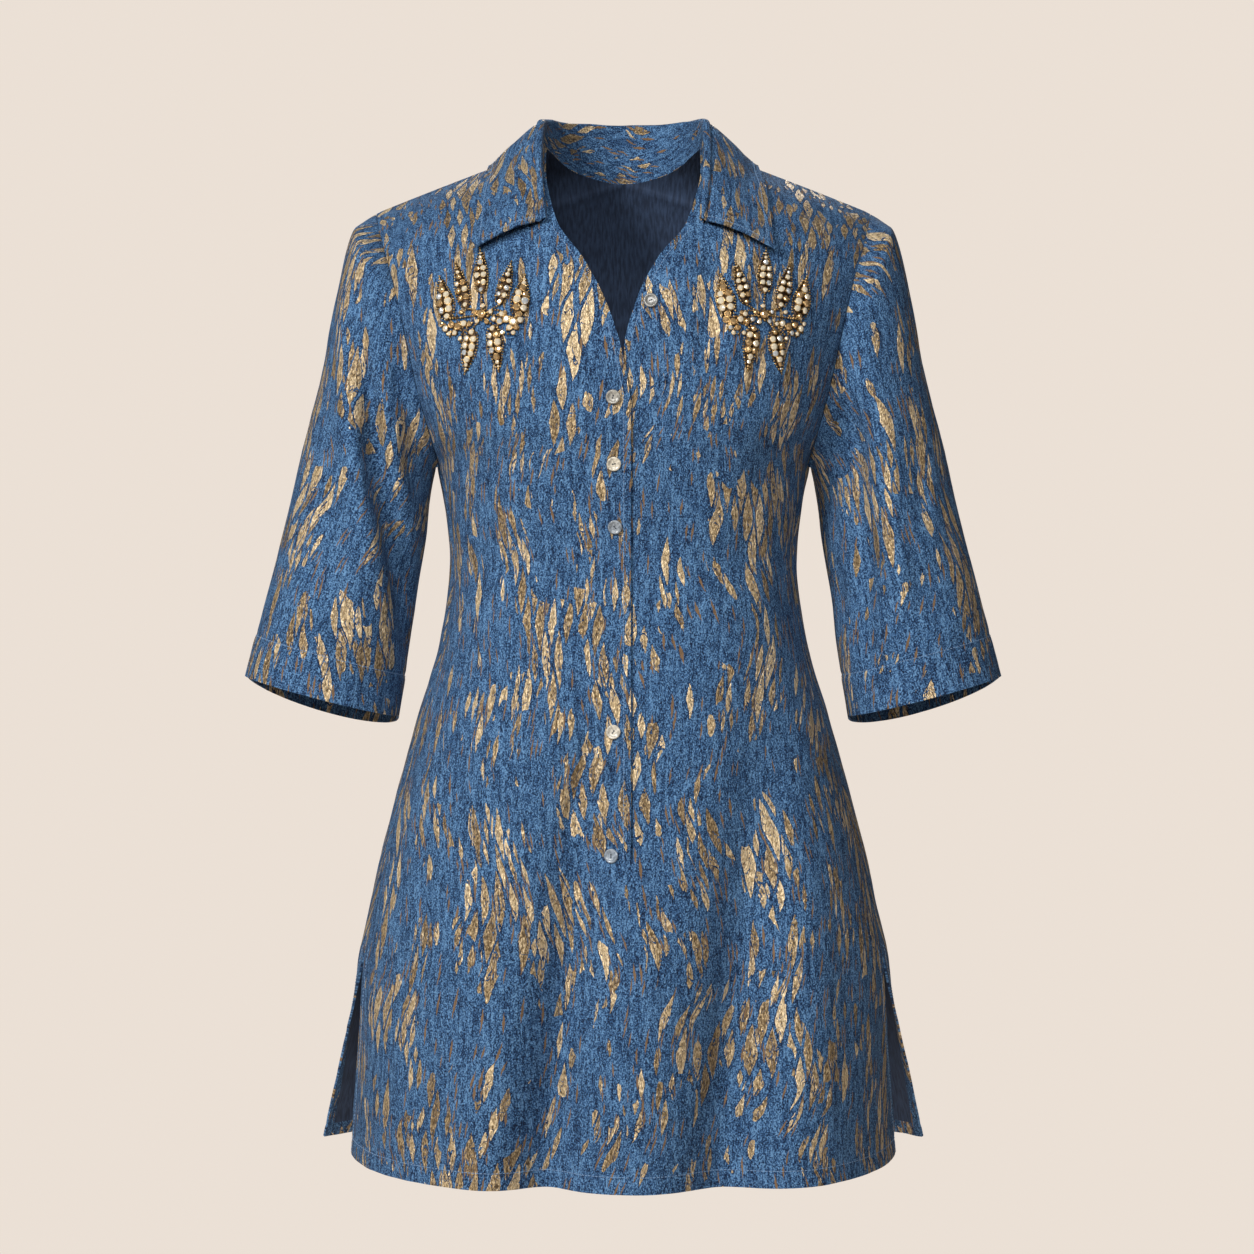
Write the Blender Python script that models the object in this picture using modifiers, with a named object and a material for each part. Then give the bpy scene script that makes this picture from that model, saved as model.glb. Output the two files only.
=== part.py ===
"""A woman's tunic as it is worn: half-placket front, shirt collar, three-quarter sleeves and side vents.

Metres, +Z up, front towards -Y, the wearer's left towards +X. The origin lies midway between the
two points where the shoulder seams meet the neck, which is where the wearer holds the tunic up.
Every piece of cloth is a wall of even thickness around a surface that is worked out from a short table.
"""

import math
from collections import namedtuple

import bmesh
import bpy
import numpy as np
from mathutils import Vector
from mathutils.bvhtree import BVHTree

# Driving sizes
CLOTH = 0.0015  # thickness of every wall of cloth
SEAM_GAP = 0.0003  # between two pieces that are sewn together
PANEL_GAP = 0.6 * SEAM_GAP  # from a side or shoulder seam to each of its two panels
SLEEVE_GAP = 1.6 * SEAM_GAP  # from the armhole to the sleeve's first ring
LAP_X = 0.006  # where the wearer's right front ends, past the centre line
SLIT = 0.0005  # the opening between the two edges of the placket
LAP_STEP = 0.0011  # how far the two edges of the placket lie in front of and behind the panel
LAP_REACH = 0.022  # how far beside the slit the panel still moves with its edge
LAP_FADE = 0.05  # how long the step takes to appear above the slit's foot, and to shrink above the neck point
COLUMNS = 12  # faces from the centre of a panel to its side seam
# A panel flatter than 1 stays flat across the middle and turns more sharply at the side. It gets so
# below FLAT_BELOW, over FLAT_FADE.
FRONT_FLATNESS, BACK_FLATNESS = 1.45, 1.0
FLAT_BELOW, FLAT_FADE = -0.080, 0.090
SLEEVE_SIDES = 20  # faces round a sleeve

# Places in the panel tables, counted from the hem
VENT_TOP = 2
PLACKET_END = 3
UNDERARM = 8
NECK_POINT = 10
NECK_BACK = 13
ROWS_PER_STEP = (2, 2, 3, 3, 2, 2, 2, 1, 1, 2, 2, 1, 2, 3, 2)

# One row for each height of a panel. The inner end is at the centre front, the neckline or the centre
# back, the outer end at the side seam or the armhole. x_right and x_left are the inner end's distance
# from the centre line, on the wearer's right and left. wrap is how far the row turns, in degrees.
PanelRow = namedtuple("PanelRow", "name z_in y_in x_right x_left z_out x_out y_out wrap")

FRONT = (
    PanelRow("hem", -0.823, -0.150, -LAP_X, LAP_X + SLIT, -0.820, 0.2220, -0.005, 80),
    PanelRow("vent", -0.737, -0.144, -LAP_X, LAP_X + SLIT, -0.735, 0.2145, -0.022, 78),
    PanelRow("vent_top", -0.649, -0.137, -LAP_X, LAP_X + SLIT, -0.648, 0.2065, -0.039, 75),
    PanelRow("placket_end", -0.572, -0.130, -LAP_X, LAP_X + SLIT, -0.572, 0.1900, -0.037, 75),
    PanelRow("hip", -0.468, -0.121, -LAP_X, LAP_X + SLIT, -0.468, 0.1628, -0.033, 75),
    PanelRow("high_hip", -0.400, -0.112, -LAP_X, LAP_X + SLIT, -0.400, 0.1440, -0.030, 75),
    PanelRow("waist", -0.341, -0.107, -LAP_X, LAP_X + SLIT, -0.341, 0.1367, -0.027, 75),
    PanelRow("ribs", -0.288, -0.114, -LAP_X, LAP_X + SLIT, -0.288, 0.1427, -0.022, 75),
    PanelRow("underarm", -0.262, -0.119, -LAP_X, LAP_X + SLIT, -0.262, 0.1500, -0.010, 77),
    PanelRow("bust", -0.225, -0.1245, -LAP_X, LAP_X + SLIT, -0.241, 0.1550, -0.036, 72),
    PanelRow("neck_point", -0.180, -0.1255, -0.003, 0.002, -0.195, 0.1665, -0.056, 62),
    PanelRow("chest", -0.138, -0.1210, 0.0144, 0.0108, -0.154, 0.1750, -0.060, 52),
    PanelRow("upper_chest", -0.106, -0.1105, 0.0308, 0.0265, -0.120, 0.1830, -0.053, 45),
    PanelRow("collar_end", -0.0735, -0.0890, 0.0520, 0.0500, -0.086, 0.1935, -0.032, 40),
    PanelRow("neck_side", -0.0270, -0.0430, 0.0620, 0.0620, -0.063, 0.2000, -0.012, 30),
    PanelRow("shoulder", 0.0, 0.0, 0.0630, 0.0630, -0.053, 0.2025, 0.005, 20),
)

BACK = (
    PanelRow("hem", -0.822, 0.165, 0.0, 0.0, -0.820, 0.2520, 0.060, 62),
    PanelRow("vent", -0.735, 0.158, 0.0, 0.0, -0.735, 0.2300, 0.012, 84),
    PanelRow("vent_top", -0.648, 0.150, 0.0, 0.0, -0.648, 0.2065, -0.039, 105),
    PanelRow("placket_end", -0.572, 0.141, 0.0, 0.0, -0.572, 0.1900, -0.037, 105),
    PanelRow("hip", -0.468, 0.126, 0.0, 0.0, -0.468, 0.1628, -0.033, 105),
    PanelRow("high_hip", -0.400, 0.110, 0.0, 0.0, -0.400, 0.1440, -0.030, 105),
    PanelRow("waist", -0.341, 0.100, 0.0, 0.0, -0.341, 0.1367, -0.027, 105),
    PanelRow("ribs", -0.288, 0.106, 0.0, 0.0, -0.288, 0.1427, -0.022, 104),
    PanelRow("underarm", -0.262, 0.110, 0.0, 0.0, -0.262, 0.1500, -0.010, 100),
    PanelRow("blade", -0.225, 0.115, 0.0, 0.0, -0.241, 0.1560, 0.026, 82),
    PanelRow("mid_back", -0.180, 0.118, 0.0, 0.0, -0.195, 0.1670, 0.056, 64),
    PanelRow("upper_back", -0.138, 0.116, 0.0, 0.0, -0.154, 0.1755, 0.065, 52),
    PanelRow("shoulder_blade", -0.090, 0.106, 0.0, 0.0, -0.120, 0.1840, 0.060, 44),
    PanelRow("neck_back", -0.0185, 0.066, 0.0, 0.0, -0.086, 0.1940, 0.042, 36),
    PanelRow("neck_turn", -0.0115, 0.048, 0.040, 0.040, -0.063, 0.2003, 0.020, 30),
    PanelRow("shoulder", 0.0, 0.0, 0.0630, 0.0630, -0.053, 0.2025, 0.005, 20),
)

# Soft folds that run down a panel. x_top and x_hem are where the fold's line passes at z_top and at
# the hem; out is how far it stands forward of the panel at the hem, and is negative for a trough.
Fold = namedtuple("Fold", "name x_top x_hem z_top width out")

FRONT_FOLDS = (
    Fold("right_ridge", -0.104, -0.108, -0.50, 0.030, 0.007),
    Fold("right_trough", -0.020, -0.062, -0.42, 0.025, -0.032),
    Fold("centre_ridge", 0.030, 0.014, -0.46, 0.034, 0.008),
    Fold("left_trough", 0.120, 0.078, -0.35, 0.032, -0.029),
    Fold("left_ridge", 0.152, 0.144, -0.46, 0.026, 0.005),
)
BACK_FOLDS = (
    Fold("right_ridge", -0.125, -0.150, -0.45, 0.034, 0.007),
    Fold("right_trough", -0.070, -0.090, -0.42, 0.028, -0.011),
    Fold("centre_ridge", -0.010, -0.020, -0.46, 0.038, 0.006),
    Fold("left_trough", 0.045, 0.060, -0.42, 0.030, -0.012),
    Fold("left_ridge", 0.115, 0.140, -0.45, 0.034, 0.007),
)

# Rings of a sleeve below the armhole, from the shoulder down. A ring is an ellipse through its
# outermost and innermost point, and reaches depth in front of and behind its middle, at y_mid.
SleeveRow = namedtuple("SleeveRow", "name x_out z_out x_in z_in y_mid depth")

SLEEVE = (
    SleeveRow("cap", 0.2180, -0.0655, 0.1548, -0.2650, 0.002, 0.0665),
    SleeveRow("upper_arm", 0.2345, -0.1250, 0.1566, -0.2735, 0.002, 0.0675),
    SleeveRow("mid_arm", 0.2450, -0.1830, 0.1590, -0.2890, 0.001, 0.0665),
    SleeveRow("above_elbow", 0.2592, -0.2400, 0.1612, -0.3135, -0.001, 0.0650),
    SleeveRow("elbow", 0.2740, -0.3050, 0.1676, -0.3580, -0.004, 0.0640),
    SleeveRow("below_elbow", 0.2903, -0.3700, 0.1750, -0.4110, -0.008, 0.0645),
    SleeveRow("cuff", 0.3060, -0.4315, 0.1836, -0.4640, -0.012, 0.0655),
)
SLEEVE_STEPS = (2, 2, 2, 2, 2, 2, 2)
# The armhole's middle in depth, and how far it reaches in front of it and behind it
ARMHOLE_MIDDLE, ARMHOLE_DEPTH = 0.002, 0.064
CUFF_BACK_DROP = 0.017  # the back of the cuff hangs this much below its front

# A drag fold on a sleeve. turn is the angle round the sleeve, from the outside over the front.
SleeveFold = namedtuple("SleeveFold", "side turn_top turn_end ring_top ring_end width out")
RIGHT, BOTH, LEFT = -1, 0, 1

SLEEVE_FOLDS = (
    SleeveFold(RIGHT, 80, 160, 2.2, 5.7, 15, -0.0105),
    SleeveFold(RIGHT, 55, 120, 2.4, 5.4, 15, 0.0035),
    SleeveFold(LEFT, 122, 132, 2.0, 6.3, 15, -0.0095),
    SleeveFold(LEFT, 94, 104, 2.0, 6.0, 14, 0.0030),
    SleeveFold(BOTH, 132, 140, 1.2, 3.2, 17, -0.0060),
    SleeveFold(BOTH, 250, 215, 2.4, 5.4, 22, -0.0055),
)

# Sections of the collar from its front end to the centre back, each from the neck seam over the roll
# to the free edge.
CollarRow = namedtuple("CollarRow", "name base roll edge")

COLLAR = (
    CollarRow("front", (0.0618, -0.0893, -0.0760), (0.0623, -0.0958, -0.0722), (0.1182, -0.1000, -0.0965)),
    CollarRow("throat", (0.0636, -0.0620, -0.0455), (0.0666, -0.0715, -0.0385), (0.1156, -0.0660, -0.0630)),
    CollarRow("side", (0.0648, -0.0290, -0.0145), (0.0688, -0.0330, -0.0015), (0.1124, -0.0290, -0.0340)),
    CollarRow("shoulder", (0.0645, 0.0000, 0.0008), (0.0676, 0.0010, 0.0232), (0.1092, 0.0050, -0.0140)),
    CollarRow("turn", (0.0540, 0.0290, -0.0070), (0.0586, 0.0340, 0.0285), (0.0910, 0.0540, -0.0110)),
    CollarRow("back_turn", (0.0310, 0.0560, -0.0165), (0.0328, 0.0610, 0.0310), (0.0510, 0.0860, -0.0170)),
    CollarRow("back", (0.0000, 0.0670, -0.0210), (0.0000, 0.0710, 0.0315), (0.0000, 0.0970, -0.0200)),
)
COLLAR_STEPS = 16  # faces from a front end to the centre back
ROLL_RADIUS = 0.0032
COLLAR_CLEARANCE = CLOTH + 0.0019  # the collar's top side over the panels

# The band on the wrong side of the wearer's left edge, which the buttons are sewn to
BAND_IN, BAND_OUT = -0.018, 0.024
BAND_TOP, BAND_FOOT = -0.188, -0.578

BUTTON_RADIUS, BUTTON_THICK, BUTTON_RIM, BUTTON_DISH = 0.0056, 0.0024, 0.0012, 0.0005
BUTTON_SIDES = 14
# name, across from the centre line, height
BUTTONS = (
    ("button_neck", 0.0212, -0.1403),
    ("button_1", -0.0078, -0.2150),
    ("button_2", -0.0072, -0.2660),
    ("button_3", -0.0062, -0.3145),
    ("button_4", -0.0074, -0.4730),
    ("button_5", -0.0085, -0.5660),
)

# Leaves of a beaded spray, in its own plane on the wearer's left side: x and z are the leaf's foot,
# from the boss, where a stem leads to it. turn is clockwise from straight up, in degrees.
Leaf = namedtuple("Leaf", "x z turn length half_width height")

SPRAY_X, SPRAY_Z = 0.1085, -0.1500
SPRAY_LEAVES = (
    Leaf(-0.0270, -0.0030, -9, 0.033, 0.0070, 0.0042),
    Leaf(-0.0130, 0.0070, -14, 0.034, 0.0050, 0.0046),
    Leaf(0.0010, 0.0170, 3, 0.035, 0.0056, 0.0050),
    Leaf(0.0130, 0.0060, 14, 0.036, 0.0056, 0.0046),
    Leaf(0.0275, -0.0020, 12, 0.034, 0.0070, 0.0044),
    Leaf(0.0080, -0.0110, 170, 0.033, 0.0062, 0.0044),
    Leaf(-0.0080, -0.0090, 188, 0.034, 0.0062, 0.0046),
    Leaf(0.0180, -0.0070, 108, 0.016, 0.0044, 0.0036),
    Leaf(-0.0170, -0.0080, 236, 0.016, 0.0046, 0.0036),
)
STEM_HALF_WIDTH, STEM_HEIGHT = 0.0012, 0.0018
# A leaf's half width and height, as shares of its own, at shares of its length
LEAF_SHAPE = ((0.16, 0.86, 0.90), (0.42, 1.0, 1.0), (0.72, 0.66, 0.80), (1.0, 0.12, 0.30))
BOSS_RADIUS, BOSS_TOP, BOSS_HEIGHT, BOSS_SIDES = 0.0052, 0.0029, 0.0050, 14


def smooth_curve(at, places, values):
    """A curve through the values at the places that never overshoots them, for each number in at."""
    places, values = np.asarray(places, float), np.asarray(values, float)
    run = np.diff(places)
    slope = np.diff(values) / run
    tangent = np.empty_like(values)
    tangent[0], tangent[-1] = slope[0], slope[-1]
    before, after = slope[:-1], slope[1:]
    same_way = before * after > 0
    mean = np.zeros_like(before)
    mean[same_way] = 2 * before[same_way] * after[same_way] / (before + after)[same_way]
    tangent[1:-1] = mean
    at = np.asarray(at, float)
    k = np.clip(np.searchsorted(places, at, side="right") - 1, 0, len(run) - 1)
    t = (at - places[k]) / run[k]
    rise = values[k + 1] - values[k]
    m0, m1 = tangent[k] * run[k], tangent[k + 1] * run[k]
    return values[k] + m0 * t + (3 * rise - 2 * m0 - m1) * t**2 + (m0 + m1 - 2 * rise) * t**3


def ease(t):
    t = np.clip(t, 0.0, 1.0)
    return t * t * (3 - 2 * t)


def steps_through(counts):
    """Places in a table with the given number of steps between its rows."""
    places = [0.0]
    for row, count in enumerate(counts):
        places += [row + (k + 1) / count for k in range(count)]
    return np.array(places)


def material(name, colour, roughness, metallic=0.0):
    made = bpy.data.materials.new(name)
    made.use_nodes = True
    shader = made.node_tree.nodes["Principled BSDF"]
    shader.inputs["Base Color"].default_value = (*colour, 1.0)
    shader.inputs["Roughness"].default_value = roughness
    shader.inputs["Metallic"].default_value = metallic
    return made


def add_object(name, points, faces, finish, collection):
    mesh = bpy.data.meshes.new(name)
    mesh.from_pydata([tuple(p) for p in points], [], [tuple(f) for f in faces])
    mesh.materials.append(finish)
    mesh.shade_smooth()
    made = bpy.data.objects.new(name, mesh)
    collection.objects.link(made)
    return made


def point_normals(points, faces):
    """The outward direction at each point, from the faces round it."""
    corner = points[faces]
    across = np.cross(corner[:, 2] - corner[:, 0], corner[:, 3] - corner[:, 1])
    normals = np.zeros_like(points)
    for k in range(4):
        np.add.at(normals, faces[:, k], across)
    return normals / np.linalg.norm(normals, axis=1, keepdims=True)


def cloth_wall(points, faces, normals):
    """Closes a surface into a wall: its own side, the other side a thickness behind, and the cut edges."""
    count = len(points)
    both = np.concatenate([points, points - CLOTH * normals])
    own = [half for a, b, c, d in faces for half in ((a, b, c), (a, c, d))]
    closed = own + [(count + c, count + b, count + a) for a, b, c in own]
    directed = {(f[k], f[(k + 1) % 4]) for f in faces for k in range(4)}
    for a, b in sorted(directed):
        if (b, a) not in directed:
            low, high = (a, b) if tuple(points[a][::-1]) < tuple(points[b][::-1]) else (b, a)
            corners = [b, a, count + a, count + b]
            first = corners.index(low)
            a1, b1, c1, d1 = corners[first:] + corners[:first]
            closed += [(a1, b1, c1), (a1, c1, d1)]
    return both, closed


def grid_faces(rows, columns, first=0):
    corners = [first + r * columns + c for r in range(rows - 1) for c in range(columns - 1)]
    return [(k, k + 1, k + columns + 1, k + columns) for k in corners]


def half_panel(table, side, flatness):
    """Grid of points from the centre out and from the hem up. side is -1 on the wearer's right."""
    places = steps_through(ROWS_PER_STEP)
    marks = range(len(table))
    x_name = "x_right" if side < 0 else "x_left"

    def column(name):
        return smooth_curve(places, marks, [getattr(row, name) for row in table])[:, None]

    def inner(name, mirror=1):
        """The inner end, which runs on smoothly across the centre where a neckline crosses it."""
        if table[NECK_BACK].x_left:
            return column(name)
        values = [getattr(row, name) for row in table[NECK_BACK:]]
        values = [mirror * values[1], *values]
        neckline = smooth_curve(places, range(NECK_BACK - 1, len(table)), values)[:, None]
        return np.where(places[:, None] > NECK_BACK, neckline, column(name))

    share = np.linspace(0, 1, COLUMNS + 1)[None, :]
    wrap = np.radians(column("wrap"))
    x_in, y_in, z_in = inner(x_name, -1), inner("y_in"), inner("z_in")
    x_out, y_out, z_out = column("x_out"), column("y_out"), column("z_out")
    x = x_in + (x_out - x_in) * np.sin(wrap * share) / np.sin(wrap)
    flat = 1 + (flatness - 1) * ease((FLAT_BELOW - z_in) / FLAT_FADE)
    y = y_in + (y_out - y_in) * ((1 - np.cos(wrap * share)) / (1 - np.cos(wrap))) ** flat
    z = z_in + (z_out - z_in) * share
    return np.stack([side * x, y, z], axis=2)


def fold_depth(x, z, folds, hem):
    depth = np.zeros_like(x)
    for fold in folds:
        down = (fold.z_top - z) / (fold.z_top - hem)
        line = fold.x_top + (fold.x_hem - fold.x_top) * down
        spread = fold.width * (0.75 + 0.25 * np.clip(down, 0, 1))
        depth += fold.out * ease(down * 1.15) * np.exp(-(((x - line) / spread) ** 2))
    return depth


def grid_normals(grid, side):
    rows, columns = grid.shape[:2]
    faces = np.array(grid_faces(rows, columns))
    normals = point_normals(grid.reshape(-1, 3), faces).reshape(grid.shape)
    return normals if side > 0 else -normals


def folded(grid, side, folds, facing):
    """The panel with its folds raised along its own outward direction, fading out at the side seams."""
    normals = grid_normals(grid, side) * facing
    edge_fade = ease((1 - np.linspace(0, 1, grid.shape[1])) * 4)[None, :]
    depth = fold_depth(grid[..., 0], grid[..., 2], folds, FRONT[0].z_in)
    return grid + normals * (depth * edge_fade)[..., None]


def row_at(station):
    return sum(ROWS_PER_STEP[:station])


def lap(grid, step):
    """Moves the placket's edge forward by step, over a few centimetres beside it, where the slit is open."""
    heights = grid[:, 0, 2]
    foot, top = FRONT[PLACKET_END].z_in, FRONT[NECK_POINT].z_in
    reach = ease((heights - foot) / LAP_FADE) * (1 - 0.6 * ease((heights - top) / LAP_FADE))
    beside = np.exp(-(((np.abs(grid[..., 0]) - LAP_X) / LAP_REACH) ** 2))
    moved = grid.copy()
    moved[..., 1] -= step * reach[:, None] * beside
    return moved


class Panels:
    """The four half panels, with the directions that neighbours share along their seams."""

    def __init__(self):
        self.points, self.normals = {}, {}
        for side in (-1, 1):
            front = folded(half_panel(FRONT, side, FRONT_FLATNESS), side, FRONT_FOLDS, 1)
            front = lap(front, LAP_STEP if side < 0 else -LAP_STEP)
            back = folded(half_panel(BACK, side, BACK_FLATNESS), side, BACK_FOLDS, -1)
            self.points["front", side], self.points["back", side] = front, back
            self.normals["front", side] = grid_normals(front, side)
            self.normals["back", side] = -grid_normals(back, side)
        self.join_centres()
        for side in (-1, 1):
            self.join_seams(side)

    def join_centres(self):
        """Below the placket and down the whole back, the two halves are one piece of cloth."""
        for name, last in (("front", row_at(PLACKET_END)), ("back", row_at(NECK_BACK))):
            rows = slice(0, last + 1)
            middle = (self.points[name, -1][rows, 0] + self.points[name, 1][rows, 0]) / 2
            middle[:, 0] = LAP_X if name == "front" else 0.0
            normal = self.normals[name, -1][rows, 0] + self.normals[name, 1][rows, 0]
            normal /= np.linalg.norm(normal, axis=1, keepdims=True)
            for side in (-1, 1):
                self.points[name, side][rows, 0] = middle
                self.normals[name, side][rows, 0] = normal

    def join_seams(self, side):
        side_seam = (slice(row_at(VENT_TOP), row_at(UNDERARM) + 1), COLUMNS)
        shoulder_seam = (-1, slice(None))
        for where in (side_seam, shoulder_seam):
            line = (self.points["front", side][where] + self.points["back", side][where]) / 2
            shared = self.normals["front", side][where] + self.normals["back", side][where]
            shared /= np.linalg.norm(shared, axis=-1, keepdims=True)
            for name, towards in (("front", -1), ("back", 1)):
                self.normals[name, side][where] = shared
                self.points[name, side][where] = line + [0, towards * PANEL_GAP, 0]

    def armhole(self, side):
        """Points and outward directions round the armhole, from the underarm up and over the shoulder."""
        rows = slice(row_at(UNDERARM), None)
        edge, facing = [], []
        for name, order in (("front", 1), ("back", -1)):
            edge.append(self.points[name, side][rows, COLUMNS][::order])
            facing.append(self.normals[name, side][rows, COLUMNS][::order])
        return np.concatenate(edge), np.concatenate(facing)


def panel_object(name, panels, joined_rows, finish, collection):
    """Both halves of a front or back as one closed piece, which share centre points up to joined_rows."""
    right, left = panels.points[name, -1], panels.points[name, 1]
    rows, columns = right.shape[:2]
    count = rows * columns
    points = np.concatenate([right.reshape(-1, 3), left.reshape(-1, 3)])
    normals = np.concatenate([panels.normals[name, side].reshape(-1, 3) for side in (-1, 1)])
    index = np.arange(2 * count)
    for row in range(joined_rows + 1):
        index[count + row * columns] = row * columns
    faces = [tuple(reversed(f)) for f in grid_faces(rows, columns)] + grid_faces(rows, columns, count)
    if name == "back":
        faces = [tuple(reversed(f)) for f in faces]
    faces = index[np.array(faces)]
    used = np.unique(faces)
    renumber = np.zeros(2 * count, int)
    renumber[used] = np.arange(len(used))
    wall = cloth_wall(points[used], renumber[faces], normals[used])
    return add_object(name, *wall, finish, collection)


def ring_of(row, turn):
    """A point of a sleeve's ring at each angle, from the outside over the front."""
    outer, inner = np.array([row.x_out, row.z_out]), np.array([row.x_in, row.z_in])
    middle, reach = (outer + inner) / 2, (outer - inner) / 2
    across = middle + np.cos(turn)[:, None] * reach
    y = row.y_mid - row.depth * np.sin(turn)
    return np.stack([across[:, 0], y, across[:, 1]], axis=1)


def sleeve_surface(panels, side):
    """Rings of points from the armhole to the cuff, and the body's outward direction at the armhole."""
    edge, facing = panels.armhole(side)
    edge, facing = edge * [side, 1, 1], facing * [side, 1, 1]
    turns = np.arange(SLEEVE_SIDES) * 2 * math.pi / SLEEVE_SIDES
    shoulder, underarm = edge[len(edge) // 2], edge[0]
    reach = (shoulder - underarm)[[0, 2]] / 2
    middle = underarm[[0, 2]] + reach
    along = (edge[:, [0, 2]] - middle) @ reach / (reach @ reach)
    angle = np.unwrap(np.arctan2((ARMHOLE_MIDDLE - edge[:, 1]) / ARMHOLE_DEPTH, along))
    order = np.argsort(angle)

    def round_armhole(values):
        read = [np.interp(turns, angle[order], values[order, k], period=2 * math.pi) for k in range(3)]
        return np.stack(read, axis=1)

    start, body_side = round_armhole(edge), round_armhole(facing)
    body_side /= np.linalg.norm(body_side, axis=1, keepdims=True)

    rings = [ring_of(row, turns) for row in SLEEVE]
    towards = rings[0] - start
    start = start + towards / np.linalg.norm(towards, axis=1, keepdims=True) * SLEEVE_GAP
    rings[-1][:, 2] -= CUFF_BACK_DROP * np.clip(-np.sin(turns), 0, 1)
    stations = np.stack([start, *rings])
    places = steps_through(SLEEVE_STEPS)
    marks = range(len(stations))
    surface = np.stack(
        [[smooth_curve(places, marks, stations[:, t, k]) for k in range(3)] for t in range(SLEEVE_SIDES)]
    ).transpose(2, 0, 1)

    normals = tube_normals(surface)
    for fold in SLEEVE_FOLDS:
        if fold.side not in (side, BOTH):
            continue
        share = (places - fold.ring_top) / (fold.ring_end - fold.ring_top)
        line = np.radians(fold.turn_top + (fold.turn_end - fold.turn_top) * share)[:, None]
        apart = (turns[None, :] - line + math.pi) % (2 * math.pi) - math.pi
        strength = (ease(share * 2.5 + 0.8) * ease((1 - share) * 2 + 0.5) * ease(places / 1.5))[:, None]
        depth = fold.out * strength * np.exp(-((apart / math.radians(fold.width)) ** 2))
        surface += normals * depth[..., None]
    return surface * [side, 1, 1], body_side * [side, 1, 1]


def tube_normals(rings):
    """Outward directions on a tube, given as rings of points."""
    round_it = np.roll(rings, -1, axis=1) - np.roll(rings, 1, axis=1)
    along = np.gradient(rings, axis=0)
    normals = np.cross(round_it, along)
    return normals / np.linalg.norm(normals, axis=2, keepdims=True)


def sleeve_object(name, panels, side, finish, collection):
    rings, body_side = sleeve_surface(panels, side)
    steps, sides = rings.shape[:2]
    faces = [
        (r * sides + c, r * sides + (c + 1) % sides, (r + 1) * sides + (c + 1) % sides, (r + 1) * sides + c)
        for r in range(steps - 1)
        for c in range(sides)
    ]
    if side < 0:
        faces = [tuple(reversed(f)) for f in faces]
    faces = np.array(faces)
    points = rings.reshape(-1, 3)
    normals = point_normals(points, faces).reshape(rings.shape)
    alike = ease((np.sum(normals[0] * body_side, axis=1) - 0.1) * 2.5)[:, None]
    first = normals[0] * (1 - alike) + body_side * alike
    normals[0] = first / np.linalg.norm(first, axis=1, keepdims=True)
    wall = cloth_wall(points, faces, normals.reshape(-1, 3))
    return add_object(name, *wall, finish, collection)


def surface_tree(panels, names):
    """A search tree over the right side of some panels."""
    points, faces = [], []
    for name in names:
        for side in (-1, 1):
            grid = panels.points[name, side]
            made = grid_faces(*grid.shape[:2], len(points))
            outward = side > 0 if name == "front" else side < 0
            faces += made if outward else [f[::-1] for f in made]
            points += [tuple(p) for p in grid.reshape(-1, 3)]
    return BVHTree.FromPolygons(points, [half for a, b, c, d in faces for half in ((a, b, c), (a, c, d))])


def laid_on(point, tree, height):
    """The nearest place to the point that is at that height over the panels' right side."""
    place, normal, _, _ = tree.find_nearest(Vector(point))
    return np.array(place + normal * height)


def clear_of(point, tree, least):
    """The point, moved out if it lies nearer than least to the panels' right side."""
    place, normal, _, _ = tree.find_nearest(Vector(point))
    height = (Vector(point) - place).dot(normal)
    return np.array(point if height >= least else place + normal * least)


def collar_object(tree, finish, collection):
    """A one-piece collar: up from the neck seam, over the roll and down to the free edge."""
    marks = range(len(COLLAR) + 1)
    places = np.linspace(0, len(COLLAR) - 1, COLLAR_STEPS + 1)

    def guide(name):
        values = [getattr(row, name) for row in COLLAR]
        past_centre = (-values[-2][0], *values[-2][1:])
        values = np.array([*values, past_centre])
        return np.stack([smooth_curve(places, marks, values[:, k]) for k in range(3)], axis=1)

    base, roll, edge = guide("base"), guide("roll"), guide("edge")
    base = np.array([laid_on(point, tree, CLOTH) for point in base])
    stand = np.linalg.norm(roll - base, axis=1, keepdims=True)
    up = (roll - base) / stand
    out = edge - base
    out -= up * np.sum(out * up, axis=1, keepdims=True)
    out /= np.linalg.norm(out, axis=1, keepdims=True)
    radius = np.minimum(ROLL_RADIUS, stand * 0.45)

    outside = roll + (out - up) * radius
    sections = [
        base,
        roll - (out + up) * radius,
        roll - (out * 0.7 + up * 0.3) * radius,
        roll,
        roll + (out * 0.7 - up * 0.3) * radius,
        outside,
        outside * 0.66 + edge * 0.34 + up * 0.0014,
        outside * 0.33 + edge * 0.67 + up * 0.0010,
        edge,
    ]
    half = np.stack(sections, axis=1)
    for row in half:
        for k in range(5, len(row)):
            row[k] = clear_of(row[k], tree, COLLAR_CLEARANCE)
    mirrored = half[:-1][::-1] * [-1, 1, 1]
    whole = np.concatenate([half, mirrored])
    faces = np.array(grid_faces(*whole.shape[:2]))
    points = whole.reshape(-1, 3)
    wall = cloth_wall(points, faces, point_normals(points, faces))
    return add_object("collar", *wall, finish, collection)


def on_panel(tree, x, z):
    """The place on the front's right side straight behind a point in front of it, and the way it faces."""
    place, normal, _, _ = tree.ray_cast(Vector((x, -1.0, z)), Vector((0, 1, 0)))
    return np.array(place), np.array(normal)


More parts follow.
